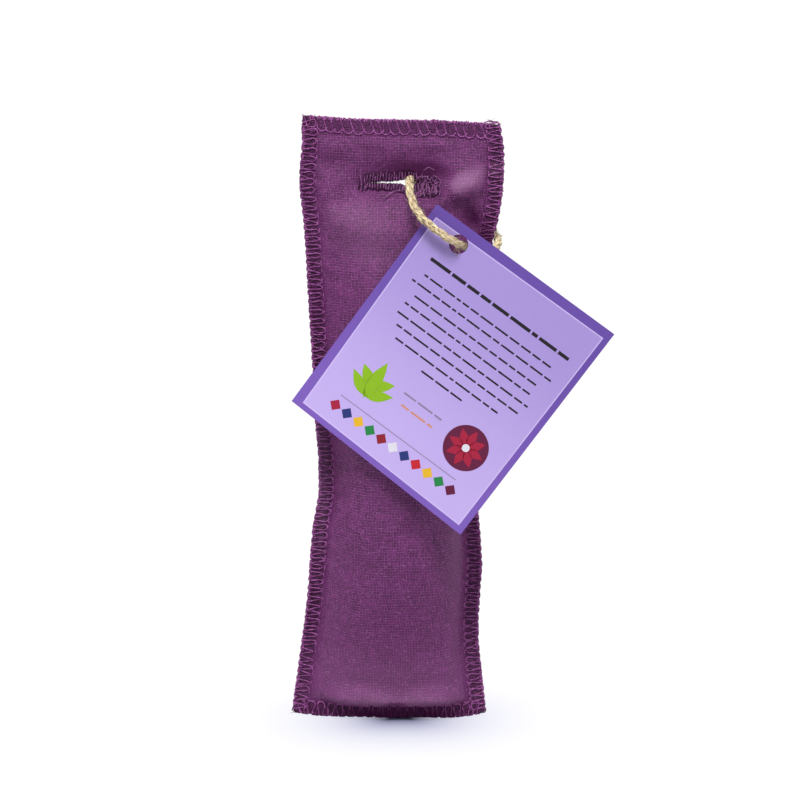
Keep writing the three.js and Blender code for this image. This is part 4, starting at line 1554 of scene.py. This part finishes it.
def make_print():
    """A plain printed face: rows of bars, a rosette, a leafy sprig and a row of diamonds."""
    inks = {name: ink(f"ink_{name}", linear(*colour)) for name, colour in INKS.items()}
    print_patches("print_heading", bars(8.8, 64.5, 15.4, 1.15, 9.0), inks["black"])
    rows = []
    for start, end, down in BAR_ROWS:
        rows += bars(start, end, down, 0.6)
    print_patches("print_rows", rows, inks["black"])
    by_ink = {}
    x, y = DIAMOND_ROW
    for k, name in enumerate(DIAMOND_INKS):
        by_ink.setdefault(name, []).append(diamond(x + DIAMOND_STEP * k, y, 2.1))
    for name, patches in by_ink.items():
        print_patches(f"print_diamonds_{name}", patches, inks[name])
    x, y = ROSETTE
    print_patches("print_rosette_round", disc_patches(x, y, 7.6), inks["plum"])
    petals = [strip for k in range(8) for strip in leaf_shape(x, y, 6.6, 3.0, 45 * k)]
    print_patches("print_rosette_petals", petals, inks["crimson"], up=PETALS_UP)
    middle = disc_patches(x, y, 1.3, sides=24)
    print_patches("print_rosette_middle", middle, inks["white"], up=ROSETTE_MIDDLE_UP)
    x, y = SPRIG
    leaves = leaf_shape(x, y, 14.0, 4.6, -90)
    for k, turn in enumerate((-148, -32, -142, -38)):
        leaves += leaf_shape(x, y - 0.8 - 3.6 * (k // 2), 9.5 - 1.6 * (k // 2), 3.6, turn)
    print_patches("print_sprig", leaves, inks["leaf"])
    print_patches("print_rule", [oblong(11.0, 68.9, 47.0, 0.28)], inks["grey"])
    print_patches("print_grey_bars", bars(27.5, 43.5, 56.0, 0.6), inks["grey"])
    print_patches("print_orange_bars", bars(29.0, 42.0, 59.8, 0.6), inks["orange"])


make_card()
make_print()


# Floor and light

WHITE = (1, 1, 1, 1)
WHITE_LIGHT = 1.05
AMBIENT = 0.27
SHADOW_TINT = (0.0, 0.0, 0.4, 1)
SHADOW_FADE = 16.0
SHADOW_MIDDLE = (3.7, 1.0)
SHADOW_CORE = (3.5, 2.0)
FLOOR_REACH = 3000
FLOOR_DROP_M = 0.00005


def make_floor():
    """White paper: a painted shadow close to the sachet, darkest and bluish near a fixed patch beneath it
    and fading with distance from it, over the real shading of its own dim diffuse part; plain white a few
    centimetres away.
    """
    s = Shader("floor_paper", roughness=0.9, specular=0.0)
    s.put(s.skin.inputs["Base Color"], (0.5, 0.5, 0.52, 1))
    across, deep = s.first_two(s.node("ShaderNodeNewGeometry"))
    # The painted shadow fades with the distance from a fixed patch under the sachet.
    beside, before = (
        s.math("MAXIMUM", s.math("ABSOLUTE", place - middle * MM) - core * MM, 0.0)
        for place, middle, core in zip((across, deep), SHADOW_MIDDLE, SHADOW_CORE)
    )
    away = s.math("SQRT", beside * beside + before * before)
    share = 1.0 - s.math("EXPONENT", away / (-SHADOW_FADE * MM))
    tint = s.node("ShaderNodeEmission", {"Color": SHADOW_TINT, "Strength": share})
    lit = s.node("ShaderNodeBsdfDiffuse", {"Color": (0.12, 0.125, 0.2, 1)})
    white = s.node("ShaderNodeEmission", {"Color": WHITE, "Strength": WHITE_LIGHT})
    near = s.node("ShaderNodeAddShader", {0: lit, 1: tint})
    seen = s.node("ShaderNodeMixShader", {0: share, 1: near, 2: white})
    plain = Value(s, s.skin.outputs[0])
    camera_ray = s.node("ShaderNodeLightPath")
    shown = s.node("ShaderNodeMixShader", {0: camera_ray, 1: plain, 2: seen})
    s.put(s.tree.nodes["Material Output"].inputs["Surface"], shown)
    corners = [(a * FLOOR_REACH, b * FLOOR_REACH, 0) for a, b in ((-1, -1), (1, -1), (1, 1), (-1, 1))]
    floor = add_piece("floor", corners, [(0, 1, 2, 3)], s.material, smooth=False)
    floor.location.z = -FLOOR_DROP_M


def make_world():
    world = bpy.data.worlds.new("studio")
    bpy.context.scene.world = world
    world.use_nodes = True
    nodes = Nodes(world.node_tree)
    nodes.tree.nodes.clear()
    soft = nodes.node("ShaderNodeBackground", {"Color": (0.96, 0.97, 1.0, 1), "Strength": AMBIENT})
    white = nodes.node("ShaderNodeBackground", {"Color": WHITE, "Strength": WHITE_LIGHT})
    camera_ray = nodes.node("ShaderNodeLightPath")
    shown = nodes.node("ShaderNodeMixShader", {0: camera_ray, 1: soft, 2: white})
    nodes.put(nodes.tree.nodes.new("ShaderNodeOutputWorld").inputs["Surface"], shown)


LAMPS_AIM_M = (0, 0, 0.1)


def add_lamp(name, place, size, power):
    data = bpy.data.lights.new(name, "AREA")
    data.size = size
    data.energy = power
    lamp = add_object(name, data)
    lamp.location = place
    lamp.rotation_euler = (Vector(LAMPS_AIM_M) - Vector(place)).to_track_quat("-Z", "Y").to_euler()


def make_light():
    make_world()
    add_lamp("key", (-0.1, -0.55, 1.2), 0.35, 15)
    add_lamp("left", (-1.0, -0.35, 0.35), 0.5, 3.0)
    add_lamp("right", (1.0, -0.35, 0.35), 0.5, 3.2)
    add_lamp("behind", (0.05, 0.55, 1.0), 0.5, 7)
    bpy.context.scene.view_settings.view_transform = "Standard"


make_floor()
make_light()
